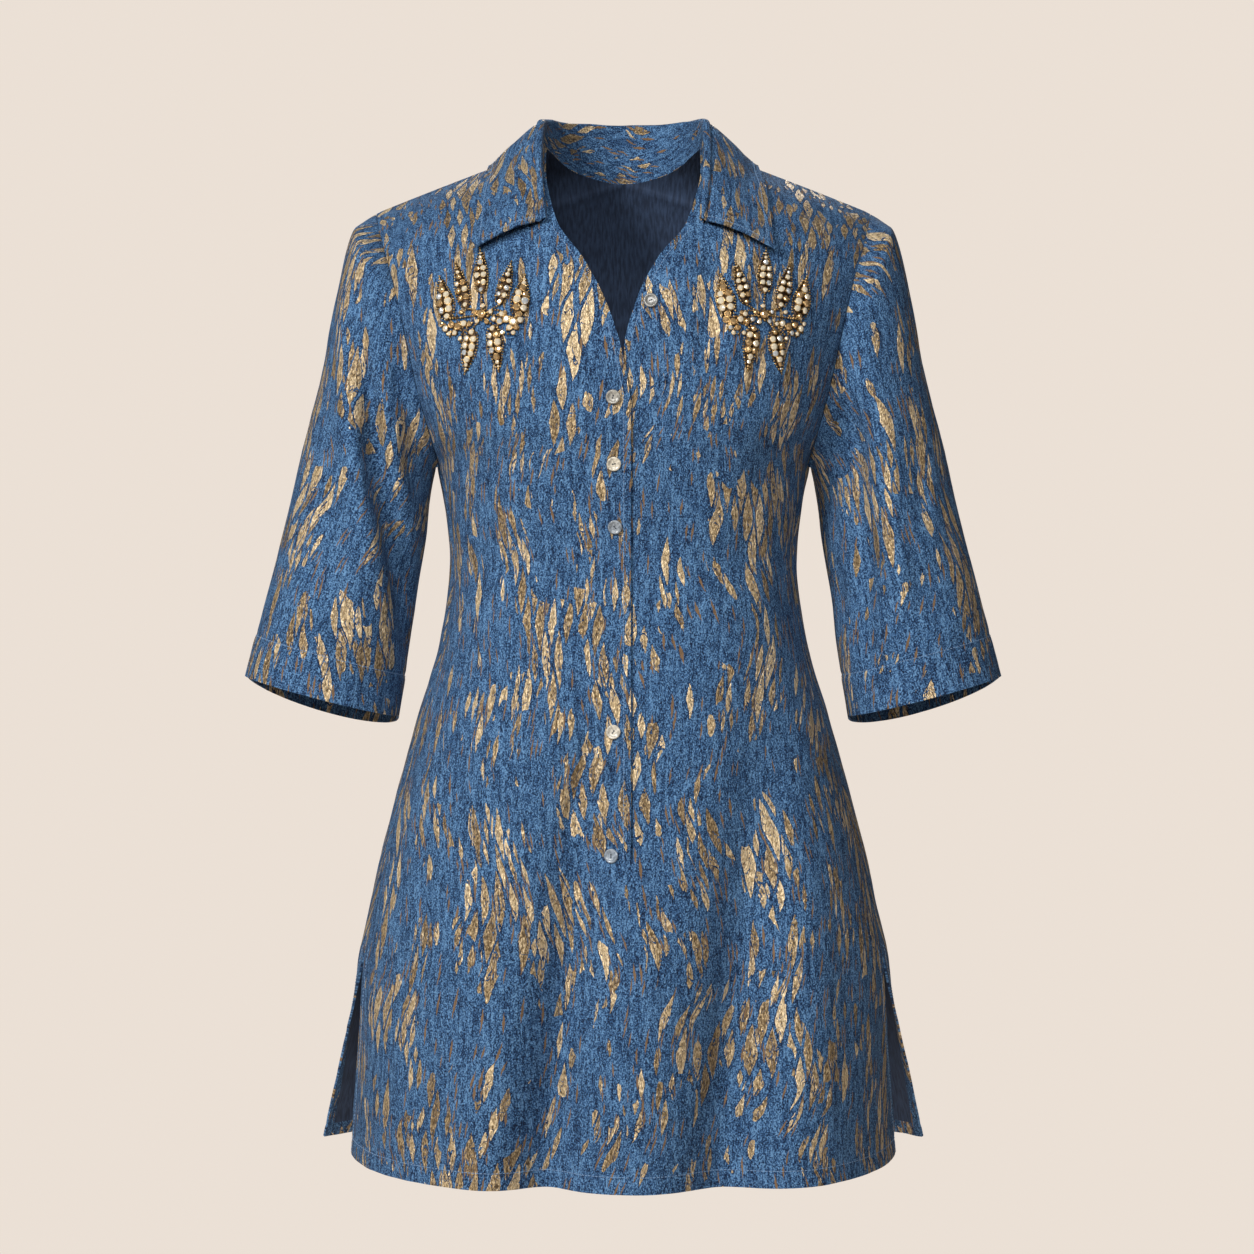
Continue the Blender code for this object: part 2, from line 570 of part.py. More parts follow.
def button_band_object(panels, finish, collection):
    """The band behind the placket: a flat strip that follows the front at an even depth."""
    columns = np.linspace(BAND_IN, BAND_OUT, 6)
    rows = np.linspace(BAND_FOOT, BAND_TOP, 14)
    halves = panels.points["front", -1], panels.points["front", 1]
    last = row_at(NECK_POINT) + 1
    heights = halves[0][:last, 0, 2]
    grid = np.zeros((len(rows), len(columns), 3))
    for c, x in enumerate(columns):
        half = halves[0] if x < LAP_X else halves[1]
        order = np.argsort(half[0, :, 0])
        y = [np.interp(x, half[r, order, 0], half[r, order, 1]) for r in range(last)]
        grid[:, c] = np.stack([np.full(len(rows), x), np.interp(rows, heights, y), rows], axis=1)
    grid[..., 1] = grid[..., 1].max(axis=1, keepdims=True) + CLOTH + 3 * SEAM_GAP
    faces = np.array(grid_faces(*grid.shape[:2]))
    points = grid.reshape(-1, 3)
    wall = cloth_wall(points, faces, point_normals(points, faces))
    return add_object("button_band", *wall, finish, collection)


def button_object(name, x, z, tree, finish, collection):
    """A turned button: a dished face, a round rim and a flat back, laid on the cloth."""
    place, normal = on_panel(tree, x, z)
    profile = (
        (0.0, BUTTON_THICK - BUTTON_DISH),
        (BUTTON_RADIUS * 0.62, BUTTON_THICK - BUTTON_DISH),
        (BUTTON_RADIUS * 0.74, BUTTON_THICK),
        (BUTTON_RADIUS - BUTTON_RIM * 0.5, BUTTON_THICK),
        (BUTTON_RADIUS, BUTTON_THICK - BUTTON_RIM),
        (BUTTON_RADIUS - BUTTON_RIM * 0.6, 0.0),
        (0.0, 0.0),
    )
    mesh = bpy.data.meshes.new(name)
    mesh.from_pydata([(r, 0, h) for r, h in profile], [(k, k + 1) for k in range(len(profile) - 1)], [])
    mesh.materials.append(finish)
    made = bpy.data.objects.new(name, mesh)
    collection.objects.link(made)
    turned = made.modifiers.new("Turned", "SCREW")
    turned.steps = turned.render_steps = BUTTON_SIDES
    turned.use_merge_vertices = True
    turned.merge_threshold = 0.00001
    turned.use_smooth_shade = True
    made.rotation_mode = "QUATERNION"
    made.rotation_quaternion = Vector(normal).to_track_quat("Z", "Y")
    made.location = place + normal * (SEAM_GAP + 0.0001)
    return made


def leaf_mesh(leaf, order, centre, side, tree):
    """One leaf with its stem, as rings of five points that follow the panel, in a bmesh."""
    turn = math.radians(leaf.turn)
    along = np.array([math.sin(turn) * side, math.cos(turn)])
    foot = np.array([leaf.x * side, leaf.z])
    stem = foot / np.linalg.norm(foot)
    bend = (stem + along) / np.linalg.norm(stem + along)
    path = [
        (foot * 0.05, stem, STEM_HALF_WIDTH, STEM_HEIGHT),
        (foot, bend, STEM_HALF_WIDTH * 1.5, STEM_HEIGHT),
    ]
    path += [
        (foot + along * leaf.length * share, along, leaf.half_width * wide, leaf.height * high)
        for share, wide, high in LEAF_SHAPE
    ]
    floor = 2.5 * SEAM_GAP + 0.00006 * order
    made = bmesh.new()
    corners = []
    for middle, forward, half, height in path:
        across = np.array([forward[1], -forward[0]])
        ring = []
        for step, rise in ((-1, 0), (-0.8, 0.55), (0, 1), (0.8, 0.55), (1, 0)):
            place, normal = on_panel(tree, *(centre + middle + across * half * step))
            ring.append(made.verts.new(place + normal * (floor + rise * height)))
        corners.append(ring)
    for first, second in zip(corners, corners[1:]):
        for k in range(5):
            made.faces.new((first[k], first[(k + 1) % 5], second[(k + 1) % 5], second[k]))
    made.faces.new(corners[0][::-1])
    made.faces.new(corners[-1])
    bmesh.ops.triangulate(made, faces=made.faces)
    bmesh.ops.recalc_face_normals(made, faces=made.faces)
    return made


def spray_object(name, side, tree, finish, collection, cutters):
    """A spray of leaves round a domed boss, joined into one applique that lies on the front."""
    centre = np.array([side * SPRAY_X, SPRAY_Z])
    place, normal = on_panel(tree, *centre)
    boss = bmesh.new()
    bmesh.ops.create_cone(
        boss, cap_ends=True, segments=BOSS_SIDES, radius1=BOSS_RADIUS, radius2=BOSS_TOP, depth=BOSS_HEIGHT
    )
    bmesh.ops.translate(boss, verts=boss.verts, vec=(0, 0, BOSS_HEIGHT / 2))
    mesh = bpy.data.meshes.new(name)
    boss.to_mesh(mesh)
    boss.free()
    mesh.materials.append(finish)
    made = bpy.data.objects.new(name, mesh)
    collection.objects.link(made)
    turn = Vector(normal).to_track_quat("Z", "Y").to_matrix().to_4x4()
    turn.translation = place + normal * (SEAM_GAP + 0.0001)
    mesh.transform(turn)
    for order, leaf in enumerate(SPRAY_LEAVES):
        part = bpy.data.meshes.new(f"{name}_leaf_{order}")
        shape = leaf_mesh(leaf, order, centre, side, tree)
        shape.to_mesh(part)
        shape.free()
        cutter = bpy.data.objects.new(part.name, part)
        cutter.hide_render = True
        cutter.display_type = "WIRE"
        cutters.objects.link(cutter)
        join = made.modifiers.new(f"Leaf {order}", "BOOLEAN")
        join.operation = "UNION"
        join.solver = "EXACT"
        join.object = cutter
    return made


def build():
    for obj in list(bpy.data.objects):
        bpy.data.objects.remove(obj)
    tunic = bpy.data.collections.new("tunic")
    cutters = bpy.data.collections.new("cutters")
    for collection in (tunic, cutters):
        bpy.context.scene.collection.children.link(collection)
    cloth = material("jacquard cloth", (0.055, 0.112, 0.235), 0.72)
    pearl = material("button", (0.52, 0.50, 0.46), 0.32)
    gilt = material("gilt beads", (0.62, 0.43, 0.18), 0.30, 1.0)

    panels = Panels()
    panel_object("front", panels, row_at(PLACKET_END), cloth, tunic)
    panel_object("back", panels, row_at(NECK_BACK), cloth, tunic)
    sleeve_object("sleeve_right", panels, -1, cloth, tunic)
    sleeve_object("sleeve_left", panels, 1, cloth, tunic)
    collar_object(surface_tree(panels, ("front", "back")), cloth, tunic)
    button_band_object(panels, cloth, tunic)
    front_side = surface_tree(panels, ("front",))
    for name, x, z in BUTTONS:
        button_object(name, x, z, front_side, pearl, tunic)
    for name, side in (("spray_right", -1), ("spray_left", 1)):
        spray_object(name, side, front_side, gilt, tunic, cutters)


build()
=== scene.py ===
import math
from collections import namedtuple

import bmesh
import bpy
import numpy as np
from mathutils import Matrix, Vector
from mathutils.bvhtree import BVHTree


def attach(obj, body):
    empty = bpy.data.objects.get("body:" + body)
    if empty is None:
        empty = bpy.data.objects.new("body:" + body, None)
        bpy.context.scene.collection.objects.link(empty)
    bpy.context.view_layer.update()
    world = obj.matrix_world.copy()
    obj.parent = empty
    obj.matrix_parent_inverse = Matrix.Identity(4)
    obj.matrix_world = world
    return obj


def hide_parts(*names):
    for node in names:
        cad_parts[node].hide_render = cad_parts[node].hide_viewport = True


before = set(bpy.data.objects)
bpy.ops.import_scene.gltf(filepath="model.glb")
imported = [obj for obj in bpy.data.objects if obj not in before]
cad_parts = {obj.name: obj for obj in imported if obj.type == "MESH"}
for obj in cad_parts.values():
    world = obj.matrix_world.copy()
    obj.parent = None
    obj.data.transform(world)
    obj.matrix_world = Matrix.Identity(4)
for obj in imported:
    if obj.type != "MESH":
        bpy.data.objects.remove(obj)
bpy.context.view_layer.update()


# The front: one panel of crinkled jacquard in an A line, slit down the middle from the neck. The
# wearer's right edge laps over the left. The hem and the vent edges are turned in and stitched.
LAP_X, SLIT = 0.006, 0.0016
LAP_STEP, LAP_WIDTH, LAP_FADE = 0.0012, 0.022, 0.05

# Each row of the table is one height: the inner end lies at the centre or the neck, the outer end at
# the side seam or the armhole, and wrap is how far the row turns, in degrees.
PanelRow = namedtuple("PanelRow", "name z_in y_in x_right x_left z_out x_out y_out wrap")
FRONT = (
    PanelRow("hem", -0.823, -0.150, -LAP_X, LAP_X + SLIT, -0.820, 0.2220, -0.005, 80),
    PanelRow("vent", -0.737, -0.144, -LAP_X, LAP_X + SLIT, -0.735, 0.2145, -0.022, 78),
    PanelRow("vent_top", -0.649, -0.137, -LAP_X, LAP_X + SLIT, -0.648, 0.2065, -0.039, 75),
    PanelRow("placket_end", -0.572, -0.130, -LAP_X, LAP_X + SLIT, -0.572, 0.1900, -0.037, 75),
    PanelRow("hip", -0.468, -0.121, -LAP_X, LAP_X + SLIT, -0.468, 0.1628, -0.033, 75),
    PanelRow("high_hip", -0.400, -0.112, -LAP_X, LAP_X + SLIT, -0.400, 0.1440, -0.030, 75),
    PanelRow("waist", -0.341, -0.107, -LAP_X, LAP_X + SLIT, -0.341, 0.1367, -0.027, 75),
    PanelRow("ribs", -0.288, -0.114, -LAP_X, LAP_X + SLIT, -0.288, 0.1427, -0.022, 75),
    PanelRow("underarm", -0.262, -0.119, -LAP_X, LAP_X + SLIT, -0.262, 0.1500, -0.010, 77),
    PanelRow("bust", -0.225, -0.1245, -LAP_X, LAP_X + SLIT, -0.241, 0.1550, -0.036, 72),
    PanelRow("neck_point", -0.180, -0.1255, 0.0008, 0.0006, -0.195, 0.1665, -0.056, 62),
    PanelRow("chest", -0.138, -0.1210, 0.0144, 0.0108, -0.154, 0.1750, -0.060, 52),
    PanelRow("upper_chest", -0.106, -0.1105, 0.0308, 0.0265, -0.120, 0.1830, -0.053, 45),
    PanelRow("collar_end", -0.0735, -0.0890, 0.0520, 0.0500, -0.086, 0.1935, -0.032, 40),
    PanelRow("neck_side", -0.0270, -0.0430, 0.0620, 0.0620, -0.063, 0.2000, -0.012, 30),
    PanelRow("shoulder", 0.0, 0.0, 0.0630, 0.0630, -0.053, 0.2025, 0.005, 20),
)
VENT_TOP, PLACKET_END, UNDERARM, NECK_POINT, NECK_BACK = 2, 3, 8, 10, 13
COLUMNS = 76
ROW_SPACING = 0.0040
CLOTH = 0.0009
SEAM_GAP = 0.0003

# The big folds of the skirt: where each runs at z_top and at the hem, how wide it is and how far it
# stands out at the hem, or how deep it lies.
Fold = namedtuple("Fold", "name x_top x_hem z_top width out")
FRONT_FOLDS = (
    Fold("right_ridge", -0.104, -0.108, -0.50, 0.030, 0.007),
    Fold("right_trough", -0.020, -0.062, -0.42, 0.025, -0.032),
    Fold("centre_ridge", 0.030, 0.014, -0.46, 0.034, 0.008),
    Fold("left_trough", 0.120, 0.078, -0.35, 0.032, -0.029),
    Fold("left_ridge", 0.152, 0.144, -0.46, 0.026, 0.005),
)

# Creases, drawn as lines of points on the cloth, across and up from the origin in metres
Crease = namedtuple("Crease", "width depth line")
FRONT_CREASES = (
    Crease(0.011, -0.0052, ((-0.080, -0.092), (-0.074, -0.130), (-0.070, -0.185))),
    Crease(0.012, 0.0030, ((-0.096, -0.098), (-0.092, -0.145), (-0.094, -0.200))),
    Crease(0.011, -0.0056, ((0.074, -0.090), (0.069, -0.130), (0.065, -0.190))),
    Crease(0.012, 0.0032, ((0.090, -0.098), (0.086, -0.150), (0.083, -0.205))),
    Crease(0.016, -0.0026, ((0.142, -0.215), (0.122, -0.250), (0.100, -0.300), (0.090, -0.380))),
    Crease(0.016, -0.0024, ((-0.142, -0.215), (-0.124, -0.252), (-0.108, -0.300), (-0.098, -0.360))),
    Crease(0.012, -0.0016, ((-0.132, -0.330), (-0.100, -0.346), (-0.060, -0.352))),
    Crease(0.012, -0.0016, ((0.132, -0.322), (0.098, -0.340), (0.055, -0.350))),
    Crease(0.014, 0.0016, ((0.130, -0.352), (0.090, -0.368), (0.050, -0.372))),
    Crease(0.018, -0.0022, ((-0.150, -0.520), (-0.162, -0.620), (-0.170, -0.760))),
    Crease(0.018, -0.0026, ((0.150, -0.500), (0.168, -0.620), (0.178, -0.780))),
    Crease(0.010, -0.0012, ((-0.012, -0.300), (-0.016, -0.345), (-0.010, -0.400))),
    Crease(0.010, -0.0012, ((0.020, -0.560), (0.026, -0.600), (0.040, -0.660))),
    Crease(0.009, -0.0014, ((-0.016, -0.572), (-0.024, -0.610), (-0.040, -0.655))),
    Crease(0.0055, -0.0062, ((-0.023, -0.460), (-0.029, -0.490), (-0.036, -0.520), (-0.047, -0.565))),
)
FRONT_CUT = (0.56, 0.86)
FRONT_AREA = 0.362

# Hems and vents are turned in by this much. A turned edge stands a little higher, its stitching and
# the seams lie in ditches, and the creases fade out this near to a seam.
HEM_TURN, VENT_TURN = 0.0130, 0.0090
TURN_RISE, TURN_EDGE = 0.0004, 0.003
SEAM_DITCH, SEAM_DITCH_WIDTH, HEM_DITCH_WIDTH = 0.0005, 0.0032, 0.0024
CREASES_END = 0.016

# The crinkle, as far as it shows in the form: puckers of two sizes, with how high they stand
COARSE_PUCKER, COARSE_HEIGHT = (0.011, 0.030), 0.00035
FINE_PUCKER, FINE_HEIGHT = (0.0075, 0.016), 0.00025
PUCKER_CELLS = 96

# A panel flatter than 1 stays flat across the middle and turns more sharply at the side. It gets so
# below FLAT_BELOW, over FLAT_FADE.
FRONT_FLATNESS = 1.45
FLAT_BELOW, FLAT_FADE = -0.080, 0.090


def through(at, places, values):
    """A curve through the values at the places that never overshoots them, read at each number in at."""
    at, places, values = (np.asarray(numbers, float) for numbers in (at, places, values))
    more = (1,) * (values.ndim - 1)
    run = np.diff(places).reshape(-1, *more)
    slope = np.diff(values, axis=0) / run
    before, after = slope[:-1], slope[1:]
    same_way = before * after > 0
    between = np.where(same_way, 2 * before * after / np.where(same_way, before + after, 1), 0)
    tangent = np.concatenate([slope[:1], between, slope[-1:]])
    k = np.clip(np.searchsorted(places, at, side="right") - 1, 0, len(run) - 1)
    t = ((at - places[k]) / np.diff(places)[k]).reshape(-1, *more)
    rise = values[k + 1] - values[k]
    m0, m1 = tangent[k] * run[k], tangent[k + 1] * run[k]
    return values[k] + m0 * t + (3 * rise - 2 * m0 - m1) * t**2 + (m0 + m1 - 2 * rise) * t**3


def ease(t):
    t = np.clip(t, 0.0, 1.0)
    return t * t * (3 - 2 * t)


def unit(vectors):
    return vectors / np.maximum(np.linalg.norm(vectors, axis=-1, keepdims=True), 1e-12)


def fine_places(points, spacing):
    """Places in a table of rows for a fine grid, with every row of the table among them."""
    steps = [max(1, round(math.dist(a, b) / spacing)) for a, b in zip(points, points[1:])]
    places = [0.0]
    for row, count in enumerate(steps):
        places += [row + (k + 1) / count for k in range(count)]
    return np.array(places)


PLACES = fine_places([(row.x_out, row.y_out, row.z_out) for row in FRONT], ROW_SPACING)


def row_at(station):
    return int(np.argmin(abs(PLACES - station)))


def half_panel(table, side, flatness):
    """A fine grid of the cloth's right side from the centre out and from the hem up."""
    marks = range(len(table))
    x_name = "x_right" if side < 0 else "x_left"

    def column(name):
        return through(PLACES, marks, [getattr(row, name) for row in table])[:, None]

    def inner(name, mirror=1):
        """The inner end, which runs on smoothly across the centre where a neckline crosses it."""
        if table[NECK_BACK].x_left:
            return column(name)
        values = [getattr(row, name) for row in table[NECK_BACK:]]
        neckline = through(PLACES, range(NECK_BACK - 1, len(table)), [mirror * values[1], *values])[:, None]
        return np.where(PLACES[:, None] > NECK_BACK, neckline, column(name))

    share = np.linspace(0, 1, COLUMNS + 1)[None, :]
    wrap = np.radians(column("wrap"))
    x_in, y_in, z_in = inner(x_name, -1), inner("y_in"), inner("z_in")
    x_out, y_out, z_out = column("x_out"), column("y_out"), column("z_out")
    x = x_in + (x_out - x_in) * np.sin(wrap * share) / np.sin(wrap)
    flat = 1 + (flatness - 1) * ease((FLAT_BELOW - z_in) / FLAT_FADE)
    y = y_in + (y_out - y_in) * ((1 - np.cos(wrap * share)) / (1 - np.cos(wrap))) ** flat
    z = z_in + (z_out - z_in) * share
    return np.stack([side * x, y, z], axis=2)


def facing(grid, way):
    """The outward direction at each point of a grid; way is -1 where its rows and columns turn inwards."""
    return unit(np.cross(np.gradient(grid, axis=1), np.gradient(grid, axis=0))) * way


def distances(points, axis):
    """How far each point lies along its line from the line's start."""
    steps = np.linalg.norm(np.diff(points, axis=axis), axis=-1)
    start = np.zeros_like(np.take(steps, [0], axis=axis))
    return np.concatenate([start, np.cumsum(steps, axis=axis)], axis=axis)


def cloth_places(grid, side):
    """Each point's place on the flat cloth: metres out from the centre and up from the hem."""
    out = side * distances(grid, 1) + grid[:, :1, 0]
    up = distances(grid[:, 0, 1:], 0)
    return np.stack([out, np.repeat(up[:, None], grid.shape[1], axis=1)], axis=2)


def fold_depth(x, z, folds):
    depth = np.zeros_like(x)
    for fold in folds:
        down = (fold.z_top - z) / (fold.z_top - FRONT[0].z_in)
        line = fold.x_top + (fold.x_hem - fold.x_top) * down
        spread = fold.width * (0.75 + 0.25 * np.clip(down, 0, 1))
        depth += fold.out * ease(down * 1.15) * np.exp(-(((x - line) / spread) ** 2))
    return depth


def crease_depth(across, up, creases):
    """How far creases press the cloth in or out. Each one starts and ends softly and varies as it runs."""
    depth = np.zeros_like(across)
    for number, crease in enumerate(creases):
        line = np.array(crease.line)
        steps = np.diff(line, axis=0)
        lengths = np.linalg.norm(steps, axis=1)
        nearest = np.full(across.shape, np.inf)
        share = np.zeros_like(across)
        for k, (start, step, length) in enumerate(zip(line, steps, lengths)):
            t = np.clip(((across - start[0]) * step[0] + (up - start[1]) * step[1]) / length**2, 0, 1)
            apart = np.hypot(across - start[0] - step[0] * t, up - start[1] - step[1] * t)
            closer = apart < nearest
            nearest = np.where(closer, apart, nearest)
            share = np.where(closer, (lengths[:k].sum() + t * length) / lengths.sum(), share)
        ends = ease(share * 3.2) * ease((1 - share) * 3.2)
        uneven = 0.82 + 0.18 * np.sin(7 * share + number)
        depth += crease.depth * ends * uneven * np.exp(-((nearest / crease.width) ** 2))
    return depth


def pucker(across, up, size, seed):
    """Soft random heights from -1 to 1 over the cloth, in lumps of about that size."""
    lattice = np.random.default_rng(seed).uniform(-1, 1, (PUCKER_CELLS + 1, PUCKER_CELLS + 1))
    i, j = across / size[0] + 40.0, up / size[1] + 30.0
    i0, j0 = np.floor(i).astype(int), np.floor(j).astype(int)
    s, t = ease(i - i0), ease(j - j0)
    i0, j0 = i0 % PUCKER_CELLS, j0 % PUCKER_CELLS
    low = lattice[i0, j0] * (1 - s) + lattice[i0 + 1, j0] * s
    high = lattice[i0, j0 + 1] * (1 - s) + lattice[i0 + 1, j0 + 1] * s
    return low * (1 - t) + high * t


def relief(across, up, seed):
    """The crinkle of the weave as a height at each point."""
    coarse = COARSE_HEIGHT * pucker(across, up, COARSE_PUCKER, seed)
    return coarse + FINE_HEIGHT * pucker(across, up, FINE_PUCKER, seed + 1)


class Panels:
    """The four halves of front and back: their points, outward directions and places on the cloth."""

    def __init__(self):
        self.points, self.normals, self.places, self.depth = {}, {}, {}, {}

    def add(self, name, table, flatness, folds, creases, seed):
        way = 1 if name == "front" else -1
        for side in (-1, 1):
            flat = half_panel(table, side, flatness)
            normals = facing(flat, side * way)
            edge_fade = ease((1 - np.linspace(0, 1, COLUMNS + 1)) * 4)[None, :]
            grid = flat + normals * (fold_depth(flat[..., 0], flat[..., 2], folds) * edge_fade)[..., None]
            if name == "front":
                grid = lap(grid, LAP_STEP if side < 0 else -LAP_STEP)
            places = cloth_places(flat, side)
            depth = crease_depth(flat[..., 0], flat[..., 2], creases)
            depth = depth + relief(places[..., 0], places[..., 1], seed)
            self.points[name, side], self.normals[name, side] = grid, facing(grid, side * way)
            self.places[name, side], self.depth[name, side] = places, depth

    def join(self, name, last):
        """Up to the row last, the two halves are one piece of cloth."""
        rows = slice(0, last + 1)
        middle = (self.points[name, -1][rows, 0] + self.points[name, 1][rows, 0]) / 2
        middle[:, 0] = LAP_X if name == "front" else 0.0
        for group in (self.normals, self.depth, self.places):
            shared = (group[name, -1][rows, 0] + group[name, 1][rows, 0]) / 2
            if group is self.normals:
                shared = unit(shared)
            for side in (-1, 1):
                group[name, side][rows, 0] = shared
        for side in (-1, 1):
            self.points[name, side][rows, 0] = middle

    def sew(self, side):
        """Front and back meet edge to edge at the side seam and the shoulder."""
        for where in ((slice(row_at(VENT_TOP), row_at(UNDERARM) + 1), COLUMNS), (-1, slice(None))):
            line = (self.points["front", side][where] + self.points["back", side][where]) / 2
            shared = unit(self.normals["front", side][where] + self.normals["back", side][where])
            for name, towards in (("front", -1), ("back", 1)):
                self.normals[name, side][where] = shared
                self.points[name, side][where] = line + [0, towards * SEAM_GAP * 0.6, 0]

    def shape(self, name, side):
        """Presses the creases in, lets seams lie a little lower, and thickens the turned hem."""
        places, grid = self.places[name, side], self.points[name, side]
        from_edge = abs(places[:, -1:, 0]) - abs(places[..., 0])
        from_hem = places[..., 1]
        heights = PLACES[:, None]
        sewn = np.where(heights >= VENT_TOP, 1.0, 0.0)
        free = sewn * ease(from_edge / CREASES_END) * ease((PLACES[-1] - heights) * 2.2) + (1 - sewn)
        hem = ease((HEM_TURN - from_hem) / TURN_EDGE)
        turned = np.clip(hem + (1 - sewn) * ease((VENT_TURN - from_edge) / TURN_EDGE), 0, 1)
        hem_ditch = np.exp(-(((from_hem - HEM_TURN) / HEM_DITCH_WIDTH) ** 2)) * 1.2
        ditch = sewn * np.exp(-((from_edge / SEAM_DITCH_WIDTH) ** 2)) + hem_ditch
        rise = self.depth[name, side] * free + TURN_RISE * turned - SEAM_DITCH * ditch
        self.points[name, side] = grid + self.normals[name, side] * rise[..., None]
        self.depth[name, side] = CLOTH * (1 + turned)

    def armhole(self, side):
        """Points and outward directions round the armhole: up the front from the underarm, down the back."""
        rows = slice(row_at(UNDERARM), None)
        edge, out = [], []
        for name, order in (("front", 1), ("back", -1)):
            edge.append(self.points[name, side][rows, COLUMNS][::order])
            out.append(self.normals[name, side][rows, COLUMNS][::order])
        return np.concatenate(edge), np.concatenate(out)


def lap(grid, step):
    """Moves the placket's edge forward by step, beside the slit and as far as it is open."""
    heights = grid[:, 0, 2]
    reach = ease((heights - FRONT[PLACKET_END].z_in) / LAP_FADE)
    reach *= 1 - 0.6 * ease((heights - FRONT[NECK_POINT].z_in) / LAP_FADE)
    beside = np.exp(-(((abs(grid[..., 0]) - LAP_X) / LAP_WIDTH) ** 2))
    moved = grid.copy()
    moved[..., 1] -= step * reach[:, None] * beside
    return moved


def grid_faces(rows, columns, first=0, closed=False):
    """Quads between the points of a grid; a closed one joins its last column to its first."""
    r, c = np.meshgrid(np.arange(rows - 1), np.arange(columns - (0 if closed else 1)), indexing="ij")
    n = (c + 1) % columns
    low, high = r * columns, (r + 1) * columns
    return first + np.stack([low + c, low + n, high + n, high + c], axis=2).reshape(-1, 4)


def cloth_object(name, points, faces, normals, places, thick):
    """Cloth as a thin wall: its right side, its wrong side a thickness behind, and the edges between.

    Where it is double, as at a turned hem, both sides show the cloth's right side.
    """
    count = len(points)
    both = np.concatenate([points, points - normals * np.reshape(thick, (-1, 1))])
    sides = np.stack([faces, np.roll(faces, -1, axis=1)], axis=2).reshape(-1, 2)
    keys = sides[:, 0] * count + sides[:, 1]
    rims = sides[~np.isin(keys, sides[:, 1] * count + sides[:, 0])]
    edge = np.stack([rims[:, 1], rims[:, 0], rims[:, 0] + count, rims[:, 1] + count], axis=1)
    closed = np.concatenate([faces, faces[:, ::-1] + count, edge])
    mesh = bpy.data.meshes.new(name)
    mesh.from_pydata(both.tolist(), [], closed.tolist())
    single = np.reshape(thick, -1)[faces].max(axis=1) < 1.5 * CLOTH
    kinds = np.concatenate([np.zeros(len(faces)), single, np.zeros(len(edge))])
    mesh.polygons.foreach_set("material_index", kinds.astype(np.int32))
    cloth_map = mesh.uv_layers.new(name="cloth")
    corners = np.concatenate([places, places])[closed.ravel()]
    cloth_map.data.foreach_set("uv", corners.astype(np.float32).ravel())
    mesh.materials.append(jacquard)
    mesh.materials.append(wrong_side)
    mesh.shade_smooth()
    mesh.set_sharp_from_angle(angle=math.radians(55))
    made = bpy.data.objects.new(name, mesh)
    bpy.context.scene.collection.objects.link(made)
    return made


def panel_object(name, joined_rows, shift):
    """Both halves of a panel as one piece, which share their centre points up to joined_rows."""
    rows, columns = panels.points[name, 1].shape[:2]
    count = rows * columns

    def both(group):
        return np.concatenate([group[name, side].reshape(count, -1) for side in (-1, 1)])

    index = np.arange(2 * count)
    joined = (joined_rows + 1) * columns
    index[count : count + joined : columns] = np.arange(0, joined, columns)
    faces = np.concatenate([grid_faces(rows, columns)[:, ::-1], grid_faces(rows, columns, count)])
    if name == "back":
        faces = faces[:, ::-1]
    faces = index[faces]
    used = np.unique(faces)
    renumber = np.zeros(2 * count, int)
    renumber[used] = np.arange(len(used))
    return cloth_object(
        name + "_cloth", both(panels.points)[used], renumber[faces], both(panels.normals)[used],
        both(panels.places)[used] + shift, both(panels.depth)[used],
    )


def add_node(tree, kind, *values, named=(), **settings):
    """A node whose inputs take the given numbers or other nodes' outputs, in order or by name."""
    made = tree.nodes.new(kind)
    for key, value in settings.items():
        setattr(made, key, value)
    by_name = ((made.inputs[key], value) for key, value in dict(named).items())
    for socket, value in [*zip(made.inputs, values), *by_name]:
        if isinstance(value, bpy.types.NodeSocket):
            tree.links.new(value, socket)
        elif value is not None:
            socket.default_value = value
    return made


def reckon(tree, operation, *values):
    return add_node(tree, "ShaderNodeMath", *values, operation=operation).outputs[0]


def scaled(tree, vector, scale, shift=(0, 0, 0)):
    """A point on the cloth, counted in units of a motif's own width and length."""
    moved = add_node(tree, "ShaderNodeVectorMath", vector, shift, operation="ADD").outputs[0]
    per_metre = (1 / scale[0], 1 / scale[1], 0)
    return add_node(tree, "ShaderNodeVectorMath", moved, per_metre, operation="MULTIPLY").outputs[0]


def cloud(tree, vector, size, detail=2.0, shift=(0, 0, 0), distortion=0.0):
    """Soft noise from 0 to 1, in lumps of the given width and length."""
    return add_node(
        tree, "ShaderNodeTexNoise", scaled(tree, vector, size, shift), noise_dimensions="2D",
        named={"Scale": 1.0, "Detail": detail, "Roughness": 0.55, "Distortion": distortion},
    ).outputs["Fac"]


def shifted(tree, vector, by):
    return add_node(tree, "ShaderNodeVectorMath", vector, by, operation="ADD").outputs[0]


# A fleck lies up to half of ASIDE off the middle of its cell. It is LEAST_LONG and up to MORE_LONG
# more from its middle to its tip, in cells, and tapers by the power TAPER.
ASIDE, LEAST_LONG, MORE_LONG, TAPER = 0.08, 0.24, 0.22, 1.25
# How light it is comes partly from how near its edge is and partly from a tone of its own
EDGE_LIGHT, OWN_LIGHT = 0.35, 0.65
# How far the dark edge of a fleck reaches: past its width in cells, and along it in its own lengths
RIM_WIDTH, RIM_LENGTH = 0.055, 1.06


